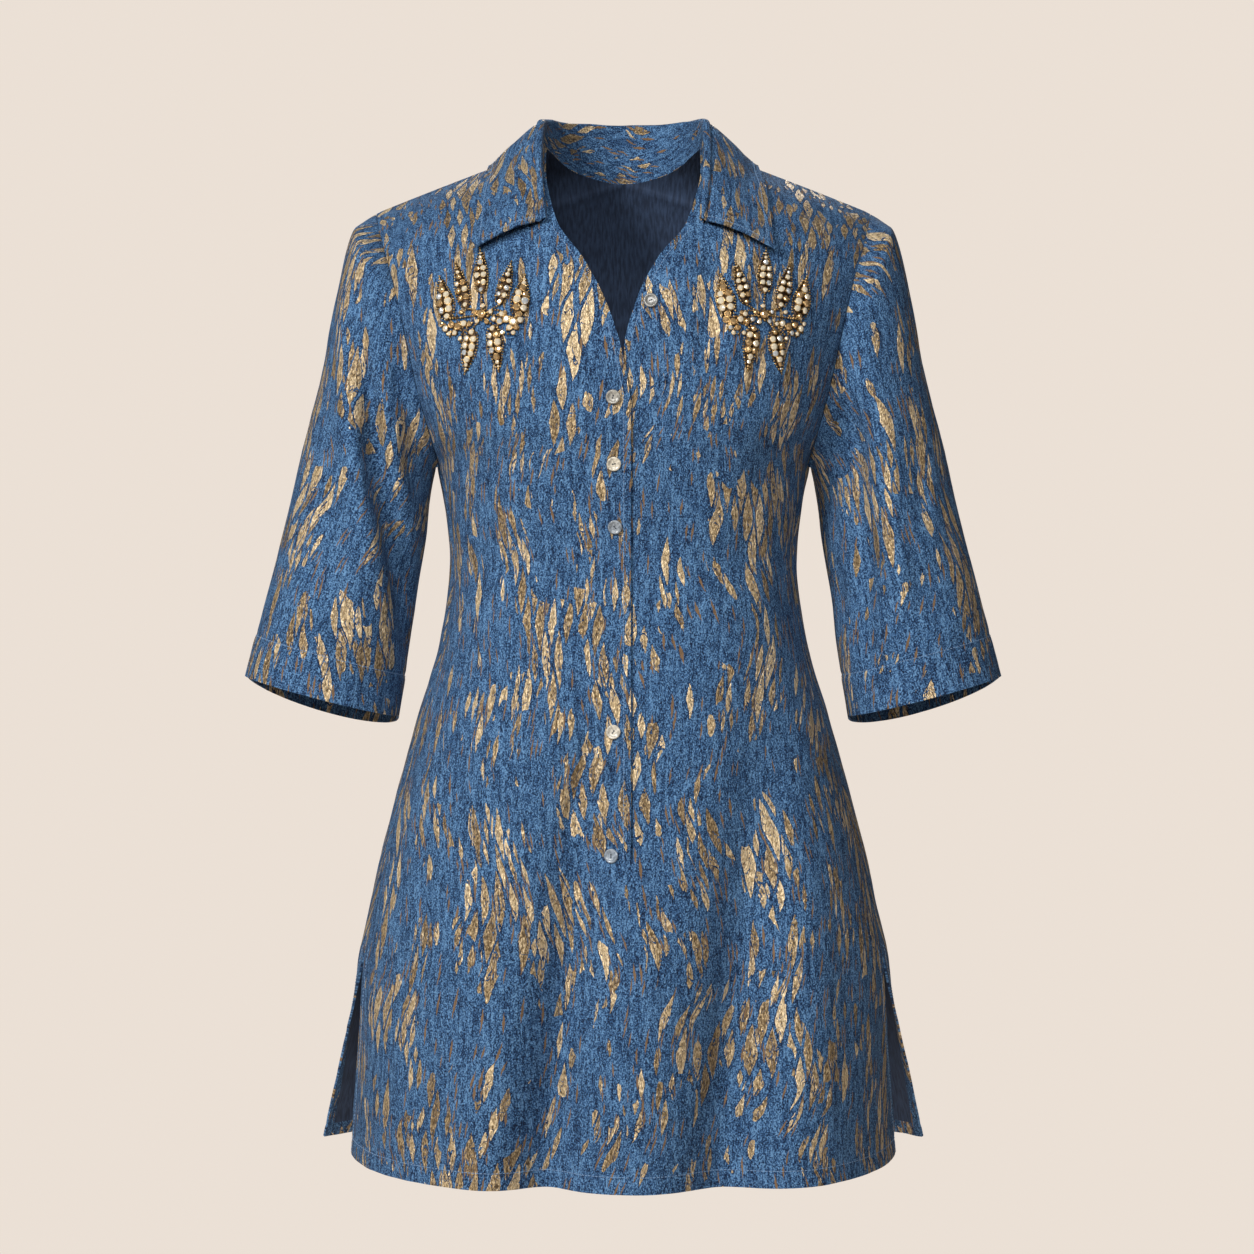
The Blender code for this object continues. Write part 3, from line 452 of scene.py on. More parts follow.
def flecks(tree, vector, size, shift, share, fatness):
    """Pointed flecks that nest in rows like scales with cracks between them; share is how many there are.

    Gives where they are, how light each one is, with lighter edges, and where they are edged with dark.
    """
    masks, tones, rims = [], [], []
    for offset in (0.0, 0.5):
        at = shifted(tree, scaled(tree, vector, size, shift), (offset, offset, 0))
        cell = add_node(tree, "ShaderNodeVectorMath", at, operation="FLOOR").outputs[0]
        within = add_node(tree, "ShaderNodeVectorMath", at, cell, operation="SUBTRACT").outputs[0]
        local = add_node(tree, "ShaderNodeSeparateXYZ", shifted(tree, within, (-0.5, -0.5, 0))).outputs
        seed = shifted(tree, cell, (3.1 + 7 * offset, 1.7, 0))
        chance = add_node(tree, "ShaderNodeTexWhiteNoise", seed, noise_dimensions="2D").outputs["Color"]
        chance = add_node(tree, "ShaderNodeSeparateColor", chance).outputs
        aside = reckon(tree, "MULTIPLY_ADD", chance[2], ASIDE, -ASIDE / 2)
        across = reckon(tree, "ABSOLUTE", reckon(tree, "ADD", local[0], aside))
        length = reckon(tree, "MULTIPLY_ADD", chance[1], MORE_LONG, LEAST_LONG)
        along = reckon(tree, "DIVIDE", reckon(tree, "ABSOLUTE", local[1]), length)
        taper = reckon(tree, "SUBTRACT", 1.0, reckon(tree, "POWER", along, TAPER))
        half_width = reckon(tree, "MULTIPLY_ADD", chance[1], 0.4 * fatness, 0.6 * fatness)
        width = reckon(tree, "MAXIMUM", reckon(tree, "MULTIPLY", half_width, taper), 0.001)
        inside = reckon(tree, "LESS_THAN", across, width)
        there = reckon(tree, "LESS_THAN", chance[0], share)
        masks.append(reckon(tree, "MULTIPLY", inside, there))
        edge = reckon(tree, "POWER", reckon(tree, "MINIMUM", reckon(tree, "DIVIDE", across, width), 1.0), 3.0)
        own = reckon(tree, "MULTIPLY", chance[2], OWN_LIGHT)
        light = reckon(tree, "MULTIPLY_ADD", edge, EDGE_LIGHT, own)
        tones.append(reckon(tree, "MULTIPLY", masks[-1], light))
        rim = reckon(tree, "LESS_THAN", across, reckon(tree, "ADD", width, RIM_WIDTH))
        rim = reckon(tree, "MULTIPLY", rim, reckon(tree, "LESS_THAN", along, RIM_LENGTH))
        rims.append(reckon(tree, "MULTIPLY", rim, there))
    return tuple(reckon(tree, "MAXIMUM", *both) for both in (masks, tones, rims))


BLUE_DARK, BLUE_MID, BLUE_LIGHT = (0.003, 0.013, 0.044), (0.028, 0.088, 0.210), (0.130, 0.275, 0.490)
GOLD_DARK, GOLD_MID, GOLD_LIGHT = (0.140, 0.092, 0.045), (0.480, 0.350, 0.195), (0.920, 0.740, 0.480)
COPPER = (0.200, 0.125, 0.070)

# The pattern wanders in steps from wide to fine: how often in a metre, and how far across and along
Wander = namedtuple("Wander", "often reach")
WANDERS = (
    Wander(5.5, (0.075, 0.030, 0)),
    Wander(38.0, (0.0034, 0.0085, 0)),
    Wander(420.0, (0.0008, 0.0020, 0)),
)

# Widths and lengths of the parts of the pattern and of the grain in the blue
STREAM, GAP = (0.036, 0.100), (0.030, 0.070)
LARGE_FLECK, SMALL_FLECK, LOOSE_THREAD = (0.0130, 0.0540), (0.0080, 0.0340), (0.0042, 0.0210)
CRACK, CRACK_WIDTH = (0.0060, 0.0180), 0.016
SLUB, HEATHER, STREAK = (0.0024, 0.0050), (0.0011, 0.0013), (0.0036, 0.0300)
WRINKLE, WRINKLE_WIDTH, MOTTLE = (0.0052, 0.0150), 0.022, (0.0013, 0.0030)
CRINKLE, WEAVE = (0.0034, 0.0066), (0.0008, 0.0008)

# Where the noise of the streams goes from the first value to the second, the share of cells with a
# fleck goes from the third to the fourth.
LARGE_SPREAD, SMALL_SPREAD = (0.50, 0.60, 0.02, 0.88), (0.51, 0.63, 0.02, 0.55)

# The share of each grain in the blue, how much painted shade darkens it along the wrinkles, and how much the
# dark edges of flecks darken it
SLUB_SHARE, HEATHER_SHARE, STREAK_SHARE = 0.38, 0.40, 0.22
WRINKLE_PAINTED_SHADE, RIM_DARK = 0.085, 0.050

# How far weave, gilt threads and wrinkles stand out or lie in, beside the crinkle, and the finish
WEAVE_HEIGHT, GOLD_HEIGHT, WRINKLE_DEPTH = 0.22, 0.10, 0.16
BUMP, BUMP_HEIGHT = 0.9, 0.0017
GOLD_METALLIC, GROUND_ROUGH, GOLD_ROUGH = 0.55, 0.80, 0.44


def ramp(tree, factor, colours, places):
    made = add_node(tree, "ShaderNodeValToRGB", factor)
    stops = made.color_ramp.elements
    while len(stops) < len(colours):
        stops.new(0.5)
    for stop, colour, place in zip(stops, colours, places):
        stop.position = place
        stop.color = (*colour, 1)
    return made.outputs[0]


def woven_jacquard():
    """Blue crinkled ground with lens-shaped gilt flecks that drift together in slanting streams."""
    made = bpy.data.materials.new("jacquard")
    made.use_nodes = True
    tree = made.node_tree
    shader = tree.nodes["Principled BSDF"]
    place = add_node(tree, "ShaderNodeUVMap", uv_map="cloth").outputs[0]

    motif = place
    for wander in WANDERS:
        noise = {"Scale": wander.often, "Detail": 1.0}
        drift = add_node(tree, "ShaderNodeTexNoise", place, noise_dimensions="2D", named=noise)
        drift = shifted(tree, drift.outputs["Color"], (-0.5, -0.5, 0))
        drift = add_node(tree, "ShaderNodeVectorMath", drift, wander.reach, operation="MULTIPLY").outputs[0]
        motif = add_node(tree, "ShaderNodeVectorMath", motif, drift, operation="ADD").outputs[0]

    streams = cloud(tree, motif, STREAM, 1.5, (0.31, 0.17, 0))
    gaps = cloud(tree, motif, GAP, 1.5, (0.83, 0.61, 0))
    many = add_node(tree, "ShaderNodeMapRange", streams, *LARGE_SPREAD).outputs[0]
    some = add_node(tree, "ShaderNodeMapRange", gaps, *SMALL_SPREAD).outputs[0]
    large, tone_large, rim_large = flecks(tree, motif, LARGE_FLECK, (0.0, 0.0, 0), many, 0.37)
    small, tone_small, rim_small = flecks(tree, motif, SMALL_FLECK, (0.13, 0.07, 0), some, 0.35)
    threads, _, _ = flecks(tree, motif, LOOSE_THREAD, (0.05, 0.21, 0), 0.16, 0.22)
    small = reckon(tree, "MULTIPLY", small, reckon(tree, "SUBTRACT", 1.0, rim_large))
    rims = reckon(tree, "MAXIMUM", rim_large, rim_small)
    cracks = cloud(tree, motif, CRACK, 1.0, (0.5, 0.9, 0), 1.2)
    cracks = reckon(tree, "ABSOLUTE", reckon(tree, "SUBTRACT", cracks, 0.5))
    cracks = reckon(tree, "GREATER_THAN", cracks, CRACK_WIDTH)
    gold = reckon(tree, "MULTIPLY", reckon(tree, "MAXIMUM", large, small), cracks)
    tone = reckon(tree, "MAXIMUM", tone_large, tone_small)

    slubs = cloud(tree, place, SLUB, 2.0, (0, 0, 0), 1.6)
    heather = cloud(tree, place, HEATHER, 1.5, (0.4, 0.2, 0))
    streaks = cloud(tree, place, STREAK, 2.5, (0.2, 0.6, 0), 0.6)
    shade = reckon(tree, "MULTIPLY", slubs, SLUB_SHARE)
    shade = reckon(tree, "ADD", shade, reckon(tree, "MULTIPLY", heather, HEATHER_SHARE))
    shade = reckon(tree, "ADD", shade, reckon(tree, "MULTIPLY", streaks, STREAK_SHARE))
    # Wrinkle lines: the bump below presses them in, and the blue is also darkened along them as painted shade
    wrinkles = cloud(tree, place, WRINKLE, 2.0, (0.15, 0.35, 0), 2.2)
    wrinkles = reckon(tree, "ABSOLUTE", reckon(tree, "SUBTRACT", wrinkles, 0.5))
    wrinkles = add_node(tree, "ShaderNodeMapRange", wrinkles, 0.0, WRINKLE_WIDTH, 1.0, 0.0).outputs[0]
    wrinkle_shade_and_rims = reckon(tree, "MULTIPLY", wrinkles, WRINKLE_PAINTED_SHADE)
    wrinkle_shade_and_rims = reckon(tree, "MAXIMUM", wrinkle_shade_and_rims, reckon(tree, "MULTIPLY", rims, RIM_DARK))
    shade = reckon(tree, "SUBTRACT", shade, wrinkle_shade_and_rims)
    blue = ramp(tree, shade, (BLUE_DARK, BLUE_MID, BLUE_LIGHT), (0.39, 0.49, 0.59))
    mottle = cloud(tree, place, MOTTLE, 3.0, (0.7, 0.1, 0), 0.5)
    bright = reckon(tree, "MULTIPLY_ADD", tone, 0.30, reckon(tree, "MULTIPLY", mottle, 0.75))
    gilt_thread = ramp(tree, bright, (GOLD_DARK, GOLD_MID, GOLD_LIGHT), (0.34, 0.49, 0.66))
    ground = add_node(tree, "ShaderNodeMix", data_type="RGBA", named={"Factor": threads})
    tree.links.new(blue, ground.inputs[6])
    ground.inputs[7].default_value = (*COPPER, 1)
    colour = add_node(tree, "ShaderNodeMix", data_type="RGBA", named={"Factor": gold})
    tree.links.new(ground.outputs[2], colour.inputs[6])
    tree.links.new(gilt_thread, colour.inputs[7])
    tree.links.new(colour.outputs[2], shader.inputs["Base Color"])

    crinkle = cloud(tree, place, CRINKLE, 2.5, (0.9, 0.5, 0), 1.6)
    weave = cloud(tree, place, WEAVE, 1.0)
    height = reckon(tree, "ADD", crinkle, reckon(tree, "MULTIPLY", weave, WEAVE_HEIGHT))
    height = reckon(tree, "ADD", height, reckon(tree, "MULTIPLY", gold, GOLD_HEIGHT))
    height = reckon(tree, "SUBTRACT", height, reckon(tree, "MULTIPLY", wrinkles, WRINKLE_DEPTH))
    relief_of_weave = {"Strength": BUMP, "Distance": BUMP_HEIGHT, "Height": height}
    bump = add_node(tree, "ShaderNodeBump", named=relief_of_weave)
    tree.links.new(bump.outputs[0], shader.inputs["Normal"])
    tree.links.new(reckon(tree, "MULTIPLY", gold, GOLD_METALLIC), shader.inputs["Metallic"])
    rough = add_node(tree, "ShaderNodeMapRange", gold, 0.0, 1.0, GROUND_ROUGH, GOLD_ROUGH).outputs[0]
    tree.links.new(rough, shader.inputs["Roughness"])
    shader.inputs["Sheen Weight"].default_value = 0.02
    shader.inputs["Sheen Roughness"].default_value = 0.45
    shader.inputs["Specular IOR Level"].default_value = 0.24
    return made


def wrong_side_of_cloth():
    """The wrong side: the dark ground weave alone."""
    made = bpy.data.materials.new("jacquard wrong side")
    made.use_nodes = True
    tree = made.node_tree
    shader = tree.nodes["Principled BSDF"]
    place = add_node(tree, "ShaderNodeUVMap", uv_map="cloth").outputs[0]
    slubs = cloud(tree, place, (0.0020, 0.0120), 3.0)
    colour = ramp(tree, slubs, ((0.012, 0.024, 0.055), (0.030, 0.055, 0.115)), (0.35, 0.65))
    tree.links.new(colour, shader.inputs["Base Color"])
    bump = add_node(tree, "ShaderNodeBump", named={"Strength": 0.6, "Distance": 0.0010, "Height": slubs})
    tree.links.new(bump.outputs[0], shader.inputs["Normal"])
    shader.inputs["Roughness"].default_value = 0.85
    return made


jacquard = woven_jacquard()
wrong_side = wrong_side_of_cloth()
panels = Panels()
panels.add("front", FRONT, FRONT_FLATNESS, FRONT_FOLDS, FRONT_CREASES, 3)
panels.join("front", row_at(PLACKET_END))


# The back: one panel of the same cloth, cut to the same seams, with a higher neck and its own soft
# folds from the shoulder blades and the small of the back down to the hem.
BACK = (
    PanelRow("hem", -0.822, 0.165, 0.0, 0.0, -0.820, 0.2520, 0.060, 62),
    PanelRow("vent", -0.735, 0.158, 0.0, 0.0, -0.735, 0.2300, 0.012, 84),
    PanelRow("vent_top", -0.648, 0.150, 0.0, 0.0, -0.648, 0.2065, -0.039, 105),
    PanelRow("placket_end", -0.572, 0.141, 0.0, 0.0, -0.572, 0.1900, -0.037, 105),
    PanelRow("hip", -0.468, 0.126, 0.0, 0.0, -0.468, 0.1628, -0.033, 105),
    PanelRow("high_hip", -0.400, 0.110, 0.0, 0.0, -0.400, 0.1440, -0.030, 105),
    PanelRow("waist", -0.341, 0.100, 0.0, 0.0, -0.341, 0.1367, -0.027, 105),
    PanelRow("ribs", -0.288, 0.106, 0.0, 0.0, -0.288, 0.1427, -0.022, 104),
    PanelRow("underarm", -0.262, 0.110, 0.0, 0.0, -0.262, 0.1500, -0.010, 100),
    PanelRow("blade", -0.225, 0.115, 0.0, 0.0, -0.241, 0.1560, 0.026, 82),
    PanelRow("mid_back", -0.180, 0.118, 0.0, 0.0, -0.195, 0.1670, 0.056, 64),
    PanelRow("upper_back", -0.138, 0.116, 0.0, 0.0, -0.154, 0.1755, 0.065, 52),
    PanelRow("shoulder_blade", -0.090, 0.106, 0.0, 0.0, -0.120, 0.1840, 0.060, 44),
    PanelRow("neck_back", -0.0185, 0.066, 0.0, 0.0, -0.086, 0.1940, 0.042, 36),
    PanelRow("neck_turn", -0.0115, 0.048, 0.040, 0.040, -0.063, 0.2003, 0.020, 30),
    PanelRow("shoulder", 0.0, 0.0, 0.0630, 0.0630, -0.053, 0.2025, 0.005, 20),
)
BACK_FOLDS = (
    Fold("right_ridge", -0.125, -0.150, -0.45, 0.034, 0.007),
    Fold("right_trough", -0.070, -0.090, -0.42, 0.028, -0.011),
    Fold("centre_ridge", -0.010, -0.020, -0.46, 0.038, 0.006),
    Fold("left_trough", 0.045, 0.060, -0.42, 0.030, -0.012),
    Fold("left_ridge", 0.115, 0.140, -0.45, 0.034, 0.007),
)
BACK_CREASES = (
    Crease(0.016, -0.0028, ((-0.120, -0.150), (-0.104, -0.200), (-0.096, -0.270))),
    Crease(0.016, -0.0026, ((0.124, -0.150), (0.106, -0.205), (0.100, -0.275))),
    Crease(0.014, -0.0022, ((-0.134, -0.250), (-0.098, -0.290), (-0.052, -0.315))),
    Crease(0.014, -0.0024, ((0.134, -0.255), (0.100, -0.295), (0.050, -0.325))),
    Crease(0.012, -0.0020, ((-0.125, -0.335), (-0.080, -0.350), (-0.020, -0.348))),
    Crease(0.012, 0.0018, ((-0.118, -0.352), (-0.075, -0.370), (-0.020, -0.366))),
    Crease(0.012, -0.0020, ((0.126, -0.330), (0.080, -0.352), (0.012, -0.356))),
    Crease(0.014, -0.0020, ((0.010, -0.090), (0.016, -0.160), (0.010, -0.250))),
    Crease(0.018, -0.0024, ((-0.160, -0.500), (-0.176, -0.620), (-0.190, -0.770))),
    Crease(0.018, -0.0026, ((0.158, -0.510), (0.178, -0.630), (0.196, -0.780))),
    Crease(0.015, -0.0018, ((0.000, -0.440), (0.020, -0.540), (0.016, -0.640))),
)
BACK_CUT = (0.68, 0.86)
BACK_AREA = 0.424
BACK_FLATNESS = 1.0

panels.add("back", BACK, BACK_FLATNESS, BACK_FOLDS, BACK_CREASES, 11)
panels.join("back", row_at(NECK_BACK))
for side in (-1, 1):
    panels.sew(side)
    for name in ("front", "back"):
        panels.shape(name, side)
panels.join("front", row_at(PLACKET_END))
panels.join("back", row_at(NECK_BACK))

# Rows of straight machine stitches in blue thread hold the turned edges
STITCH, STITCH_PITCH, THREAD, THREAD_SIDES = 0.0023, 0.0031, 0.00030, 5
# A stitch rises out of the cloth and goes back in: shares of its length, and how high it lies there,
# in widths of the thread
STITCH_ARC = ((0.0, -0.9), (0.22, 0.5), (0.78, 0.5), (1.0, -0.9))
EDGE_STITCH = 0.0055


def plain_material(name, colour, roughness, metallic=0.0):
    made = bpy.data.materials.new(name)
    made.use_nodes = True
    shader = made.node_tree.nodes["Principled BSDF"]
    shader.inputs["Base Color"].default_value = (*colour, 1)
    shader.inputs["Roughness"].default_value = roughness
    shader.inputs["Metallic"].default_value = metallic
    return made


sewing = plain_material("sewing thread", (0.180, 0.290, 0.470), 0.7)


def across_at(grid, out, at, distance):
    """The line across a grid's columns where the measure at reaches the distance, one point for each row."""
    line, facing_out = np.zeros((len(grid), 3)), np.zeros((len(grid), 3))
    for k, measure in enumerate(at):
        order = np.argsort(measure)
        for n in range(3):
            line[k, n] = np.interp(distance, measure[order], grid[k, order, n])
            facing_out[k, n] = np.interp(distance, measure[order], out[k, order, n])
    return line, unit(facing_out)


def stitches(name, lines):
    """Small raised stitches along lines on the cloth. Each dips into it at both ends."""
    points, faces = [], []
    for line, out in lines:
        along = distances(line, 0)
        for start in np.arange(STITCH_PITCH / 2, along[-1] - STITCH, STITCH_PITCH):
            for share, lift in STITCH_ARC:
                at = start + share * STITCH
                middle = np.array([np.interp(at, along, line[:, n]) for n in range(3)])
                ahead = np.array([np.interp(at + 0.0005, along, line[:, n]) for n in range(3)])
                rise = unit(np.array([np.interp(at, along, out[:, n]) for n in range(3)]))
                sideways = unit(np.cross(ahead - middle, rise))
                for k in range(THREAD_SIDES):
                    turn = 2 * math.pi * k / THREAD_SIDES
                    off_middle = rise * (lift + math.sin(turn)) + sideways * math.cos(turn)
                    points.append(middle + THREAD * off_middle)
            first = len(points) - len(STITCH_ARC) * THREAD_SIDES
            faces.append(grid_faces(len(STITCH_ARC), THREAD_SIDES, first, closed=True))
    mesh = bpy.data.meshes.new(name)
    mesh.from_pydata(np.array(points).tolist(), [], np.concatenate(faces).tolist())
    mesh.materials.append(sewing)
    mesh.shade_smooth()
    made = bpy.data.objects.new(name, mesh)
    bpy.context.scene.collection.objects.link(made)
    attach(made, "root")
    return made


def panel_stitch_lines(name):
    """Lines along a panel's hem and vents, and on the front also along the edges of the neck."""
    lines = []
    for side in (-1, 1):
        grid, out, places = (group[name, side] for group in (panels.points, panels.normals, panels.places))
        lines.append(across_at(grid.swapaxes(0, 1), out.swapaxes(0, 1), places[..., 1].T, HEM_TURN))
        vent = slice(0, row_at(VENT_TOP) + 1)
        from_edge = abs(places[:, -1:, 0] - places[..., 0])
        lines.append(across_at(grid[vent], out[vent], from_edge[vent], VENT_TURN))
        if name == "front":
            opening = slice(row_at(PLACKET_END if side < 0 else NECK_POINT), row_at(NECK_BACK))
            from_centre = abs(places[..., 0] - places[:, :1, 0])
            lines.append(across_at(grid[opening], out[opening], from_centre[opening], EDGE_STITCH))
    return lines


for name, joined, shift, cut, area in (
    ("front", row_at(PLACKET_END), (0.46, 0.27), FRONT_CUT, FRONT_AREA),
    ("back", row_at(NECK_BACK), (1.40, 0.30), BACK_CUT, BACK_AREA),
):
    piece = panel_object(name, joined, shift)
    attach(piece, "root")
    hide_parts(name)
    stitches(name + "_stitching", panel_stitch_lines(name))


# The sleeves: wide three-quarter sleeves of the same cloth, set into the armholes and closed by a seam
# under the arm. Drag folds run from the front of the armhole down the arm. The hem is turned up deep
# and stitched, and the back of it hangs a little lower. Each row is a ring, from the shoulder down.
SleeveRow = namedtuple("SleeveRow", "name x_out z_out x_in z_in y_mid depth")
SLEEVE = (
    SleeveRow("cap", 0.2180, -0.0655, 0.1548, -0.2650, 0.002, 0.0665),
    SleeveRow("upper_arm", 0.2345, -0.1250, 0.1566, -0.2735, 0.002, 0.0675),
    SleeveRow("mid_arm", 0.2450, -0.1830, 0.1590, -0.2890, 0.001, 0.0665),
    SleeveRow("above_elbow", 0.2592, -0.2400, 0.1612, -0.3135, -0.001, 0.0650),
    SleeveRow("elbow", 0.2740, -0.3050, 0.1676, -0.3580, -0.004, 0.0640),
    SleeveRow("below_elbow", 0.2903, -0.3700, 0.1750, -0.4110, -0.008, 0.0645),
    SleeveRow("cuff", 0.3060, -0.4315, 0.1836, -0.4640, -0.012, 0.0655),
)
SLEEVE_SIDES = 132
CUFF_BACK_DROP = 0.017
CUFF_TURN = 0.034
ARM_TOP, ARM_END, ARM_RADIUS = (0.1860, -0.1650), (0.2448, -0.4478), 0.065
ARMHOLE_Y, ARMHOLE_HALF_DEPTH = 0.002, 0.064
CUFF_DITCH, CUFF_DITCH_WIDTH = 0.0008, 0.0018
# The roll of the sleeve's head beside the armhole, and where its creases fade out
CAP_ROLL, CAP_ROLL_WIDTH, CAP_FADE = 0.0005, 0.004, 0.02

# turn is the angle round the sleeve, from the outside over the front; ring counts rows from the armhole
SleeveFold = namedtuple("SleeveFold", "side turn_top turn_end ring_top ring_end width out")
RIGHT, BOTH, LEFT = -1, 0, 1
SLEEVE_FOLDS = (
    SleeveFold(RIGHT, 80, 160, 2.2, 5.7, 15, -0.0105),
    SleeveFold(RIGHT, 55, 120, 2.4, 5.4, 15, 0.0035),
    SleeveFold(LEFT, 122, 132, 2.0, 6.3, 15, -0.0095),
    SleeveFold(LEFT, 94, 104, 2.0, 6.0, 14, 0.0030),
    SleeveFold(BOTH, 132, 140, 1.2, 3.2, 17, -0.0060),
    SleeveFold(BOTH, 250, 215, 2.4, 5.4, 22, -0.0055),
)

# Finer creases, across and up from the origin on the wearer's left, seen from the front and the back
RIGHT_SLEEVE_FRONT = (
    Crease(
        0.0085, -0.0060,
        ((0.205, -0.190), (0.202, -0.235), (0.197, -0.280), (0.185, -0.330), (0.173, -0.385)),
    ),
    Crease(
        0.0100, 0.0050,
        ((0.220, -0.180), (0.217, -0.235), (0.212, -0.280), (0.201, -0.330), (0.190, -0.380)),
    ),
    Crease(0.0080, -0.0060, ((0.184, -0.120), (0.176, -0.170), (0.173, -0.225))),
    Crease(0.0070, 0.0030, ((0.188, -0.215), (0.182, -0.265), (0.172, -0.310))),
    Crease(0.0080, -0.0030, ((0.240, -0.235), (0.234, -0.300), (0.224, -0.360))),
    Crease(0.0090, 0.0018, ((0.262, -0.350), (0.244, -0.385), (0.222, -0.410))),
    Crease(0.0060, -0.0016, ((0.232, -0.380), (0.226, -0.410), (0.224, -0.445))),
    Crease(0.0060, -0.0016, ((0.206, -0.400), (0.204, -0.425), (0.205, -0.455))),
    Crease(0.0070, -0.0016, ((0.210, -0.075), (0.208, -0.100), (0.202, -0.128))),
)
LEFT_SLEEVE_FRONT = (
    Crease(
        0.0110, -0.0070,
        ((0.170, -0.190), (0.186, -0.240), (0.191, -0.280), (0.195, -0.331), (0.206, -0.385)),
    ),
    Crease(0.0070, -0.0060, ((0.164, -0.262), (0.170, -0.330), (0.178, -0.405))),
    Crease(0.0100, 0.0045, ((0.206, -0.190), (0.212, -0.250), (0.216, -0.330), (0.226, -0.400))),
    Crease(0.0070, -0.0026, ((0.232, -0.200), (0.234, -0.260), (0.240, -0.320))),
    Crease(0.0100, -0.0018, ((0.256, -0.335), (0.240, -0.355), (0.220, -0.366))),
    Crease(0.0110, 0.0016, ((0.276, -0.370), (0.254, -0.395), (0.228, -0.408))),
    Crease(0.0060, -0.0016, ((0.214, -0.400), (0.210, -0.425), (0.210, -0.450))),
    Crease(0.0070, -0.0016, ((0.214, -0.080), (0.214, -0.110), (0.208, -0.140))),
)
SLEEVE_BACK = (
    Crease(0.010, -0.0032, ((0.186, -0.170), (0.204, -0.220), (0.226, -0.275))),
    Crease(0.009, 0.0024, ((0.180, -0.210), (0.196, -0.255), (0.215, -0.300))),
    Crease(0.011, -0.0028, ((0.176, -0.290), (0.200, -0.330), (0.236, -0.352))),
    Crease(0.010, -0.0020, ((0.182, -0.385), (0.210, -0.402), (0.250, -0.398))),
    Crease(0.008, -0.0016, ((0.212, -0.080), (0.210, -0.112), (0.202, -0.145))),
)


def ring_of(row, turn):
    """The points of a sleeve's ring, an ellipse through its outermost and innermost point."""
    outer, inner = np.array([row.x_out, row.z_out]), np.array([row.x_in, row.z_in])
    across = (outer + inner) / 2 + np.cos(turn)[:, None] * (outer - inner) / 2
    return np.stack([across[:, 0], row.y_mid - row.depth * np.sin(turn), across[:, 1]], axis=1)


def tube_normals(rings):
    round_it = np.roll(rings, -1, axis=1) - np.roll(rings, 1, axis=1)
    return unit(np.cross(round_it, np.gradient(rings, axis=0)))


def sleeve_rings(side):
    """Rings of points from the armhole to the cuff on the wearer's left, and the body's outward direction.

    Each ring starts and ends at the seam under the arm.
    """
    edge, out = panels.armhole(side)
    edge, out = edge * [side, 1, 1], out * [side, 1, 1]
    turns = math.pi * (1 + 2 * np.arange(SLEEVE_SIDES) / SLEEVE_SIDES)
    shoulder, underarm = edge[len(edge) // 2], edge[0]
    reach = (shoulder - underarm)[[0, 2]] / 2
    along = (edge[:, [0, 2]] - underarm[[0, 2]] - reach) @ reach / (reach @ reach)
    angle = np.unwrap(np.arctan2(-(edge[:, 1] - ARMHOLE_Y) / ARMHOLE_HALF_DEPTH, along))
    order = np.argsort(angle)

    def round_armhole(values):
        columns = [np.interp(turns, angle[order], values[order, k], period=2 * math.pi) for k in range(3)]
        return np.stack(columns, axis=1)

    start, body_out = round_armhole(edge), round_armhole(out)
    rings = [ring_of(row, turns) for row in SLEEVE]
    rings[-1][:, 2] -= CUFF_BACK_DROP * np.clip(-np.sin(turns), 0, 1)
    start = start + unit(rings[0] - start) * SEAM_GAP * 1.6
    stations = np.stack([start, *rings])
    places = fine_places(stations[:, SLEEVE_SIDES // 2], ROW_SPACING)
    surface = through(places, range(len(stations)), stations)
    normals = tube_normals(surface)
    for fold in SLEEVE_FOLDS:
        if fold.side not in (side, BOTH):
            continue
        share = (places - fold.ring_top) / (fold.ring_end - fold.ring_top)
        line = np.radians(fold.turn_top + (fold.turn_end - fold.turn_top) * share)[:, None]
        apart = (turns[None, :] - line + math.pi) % (2 * math.pi) - math.pi
        strength = (ease(share * 2.5 + 0.8) * ease((1 - share) * 2 + 0.5) * ease(places / 1.5))[:, None]
        depth = fold.out * strength * np.exp(-((apart / math.radians(fold.width)) ** 2))
        surface += normals * depth[..., None]
    return surface, unit(body_out), turns


def sleeve_places(surface):
    """Places on the flat sleeve: metres round the arm from the seam, and up from the arm's end."""
    top, end = np.array(ARM_TOP), np.array(ARM_END)
    down = unit(end - top)
    outward = np.array([-down[1], down[0]])
    apart = surface[..., [0, 2]] - top
    along, away = apart @ down, np.hypot(apart @ outward, surface[..., 1])
    steps = np.hypot(np.diff(along, axis=0), np.diff(away, axis=0))
    to_cuff = np.concatenate([np.cumsum(steps[::-1], axis=0)[::-1], np.zeros_like(along[:1])])
    angle = np.unwrap(np.arctan2(-surface[..., 1], apart @ outward), axis=1)
    angle -= 2 * math.pi * np.round((angle[:, :1] - math.pi) / (2 * math.pi))
    return np.stack([angle * ARM_RADIUS, np.linalg.norm(end - top) - along[-1:] + to_cuff], axis=2)


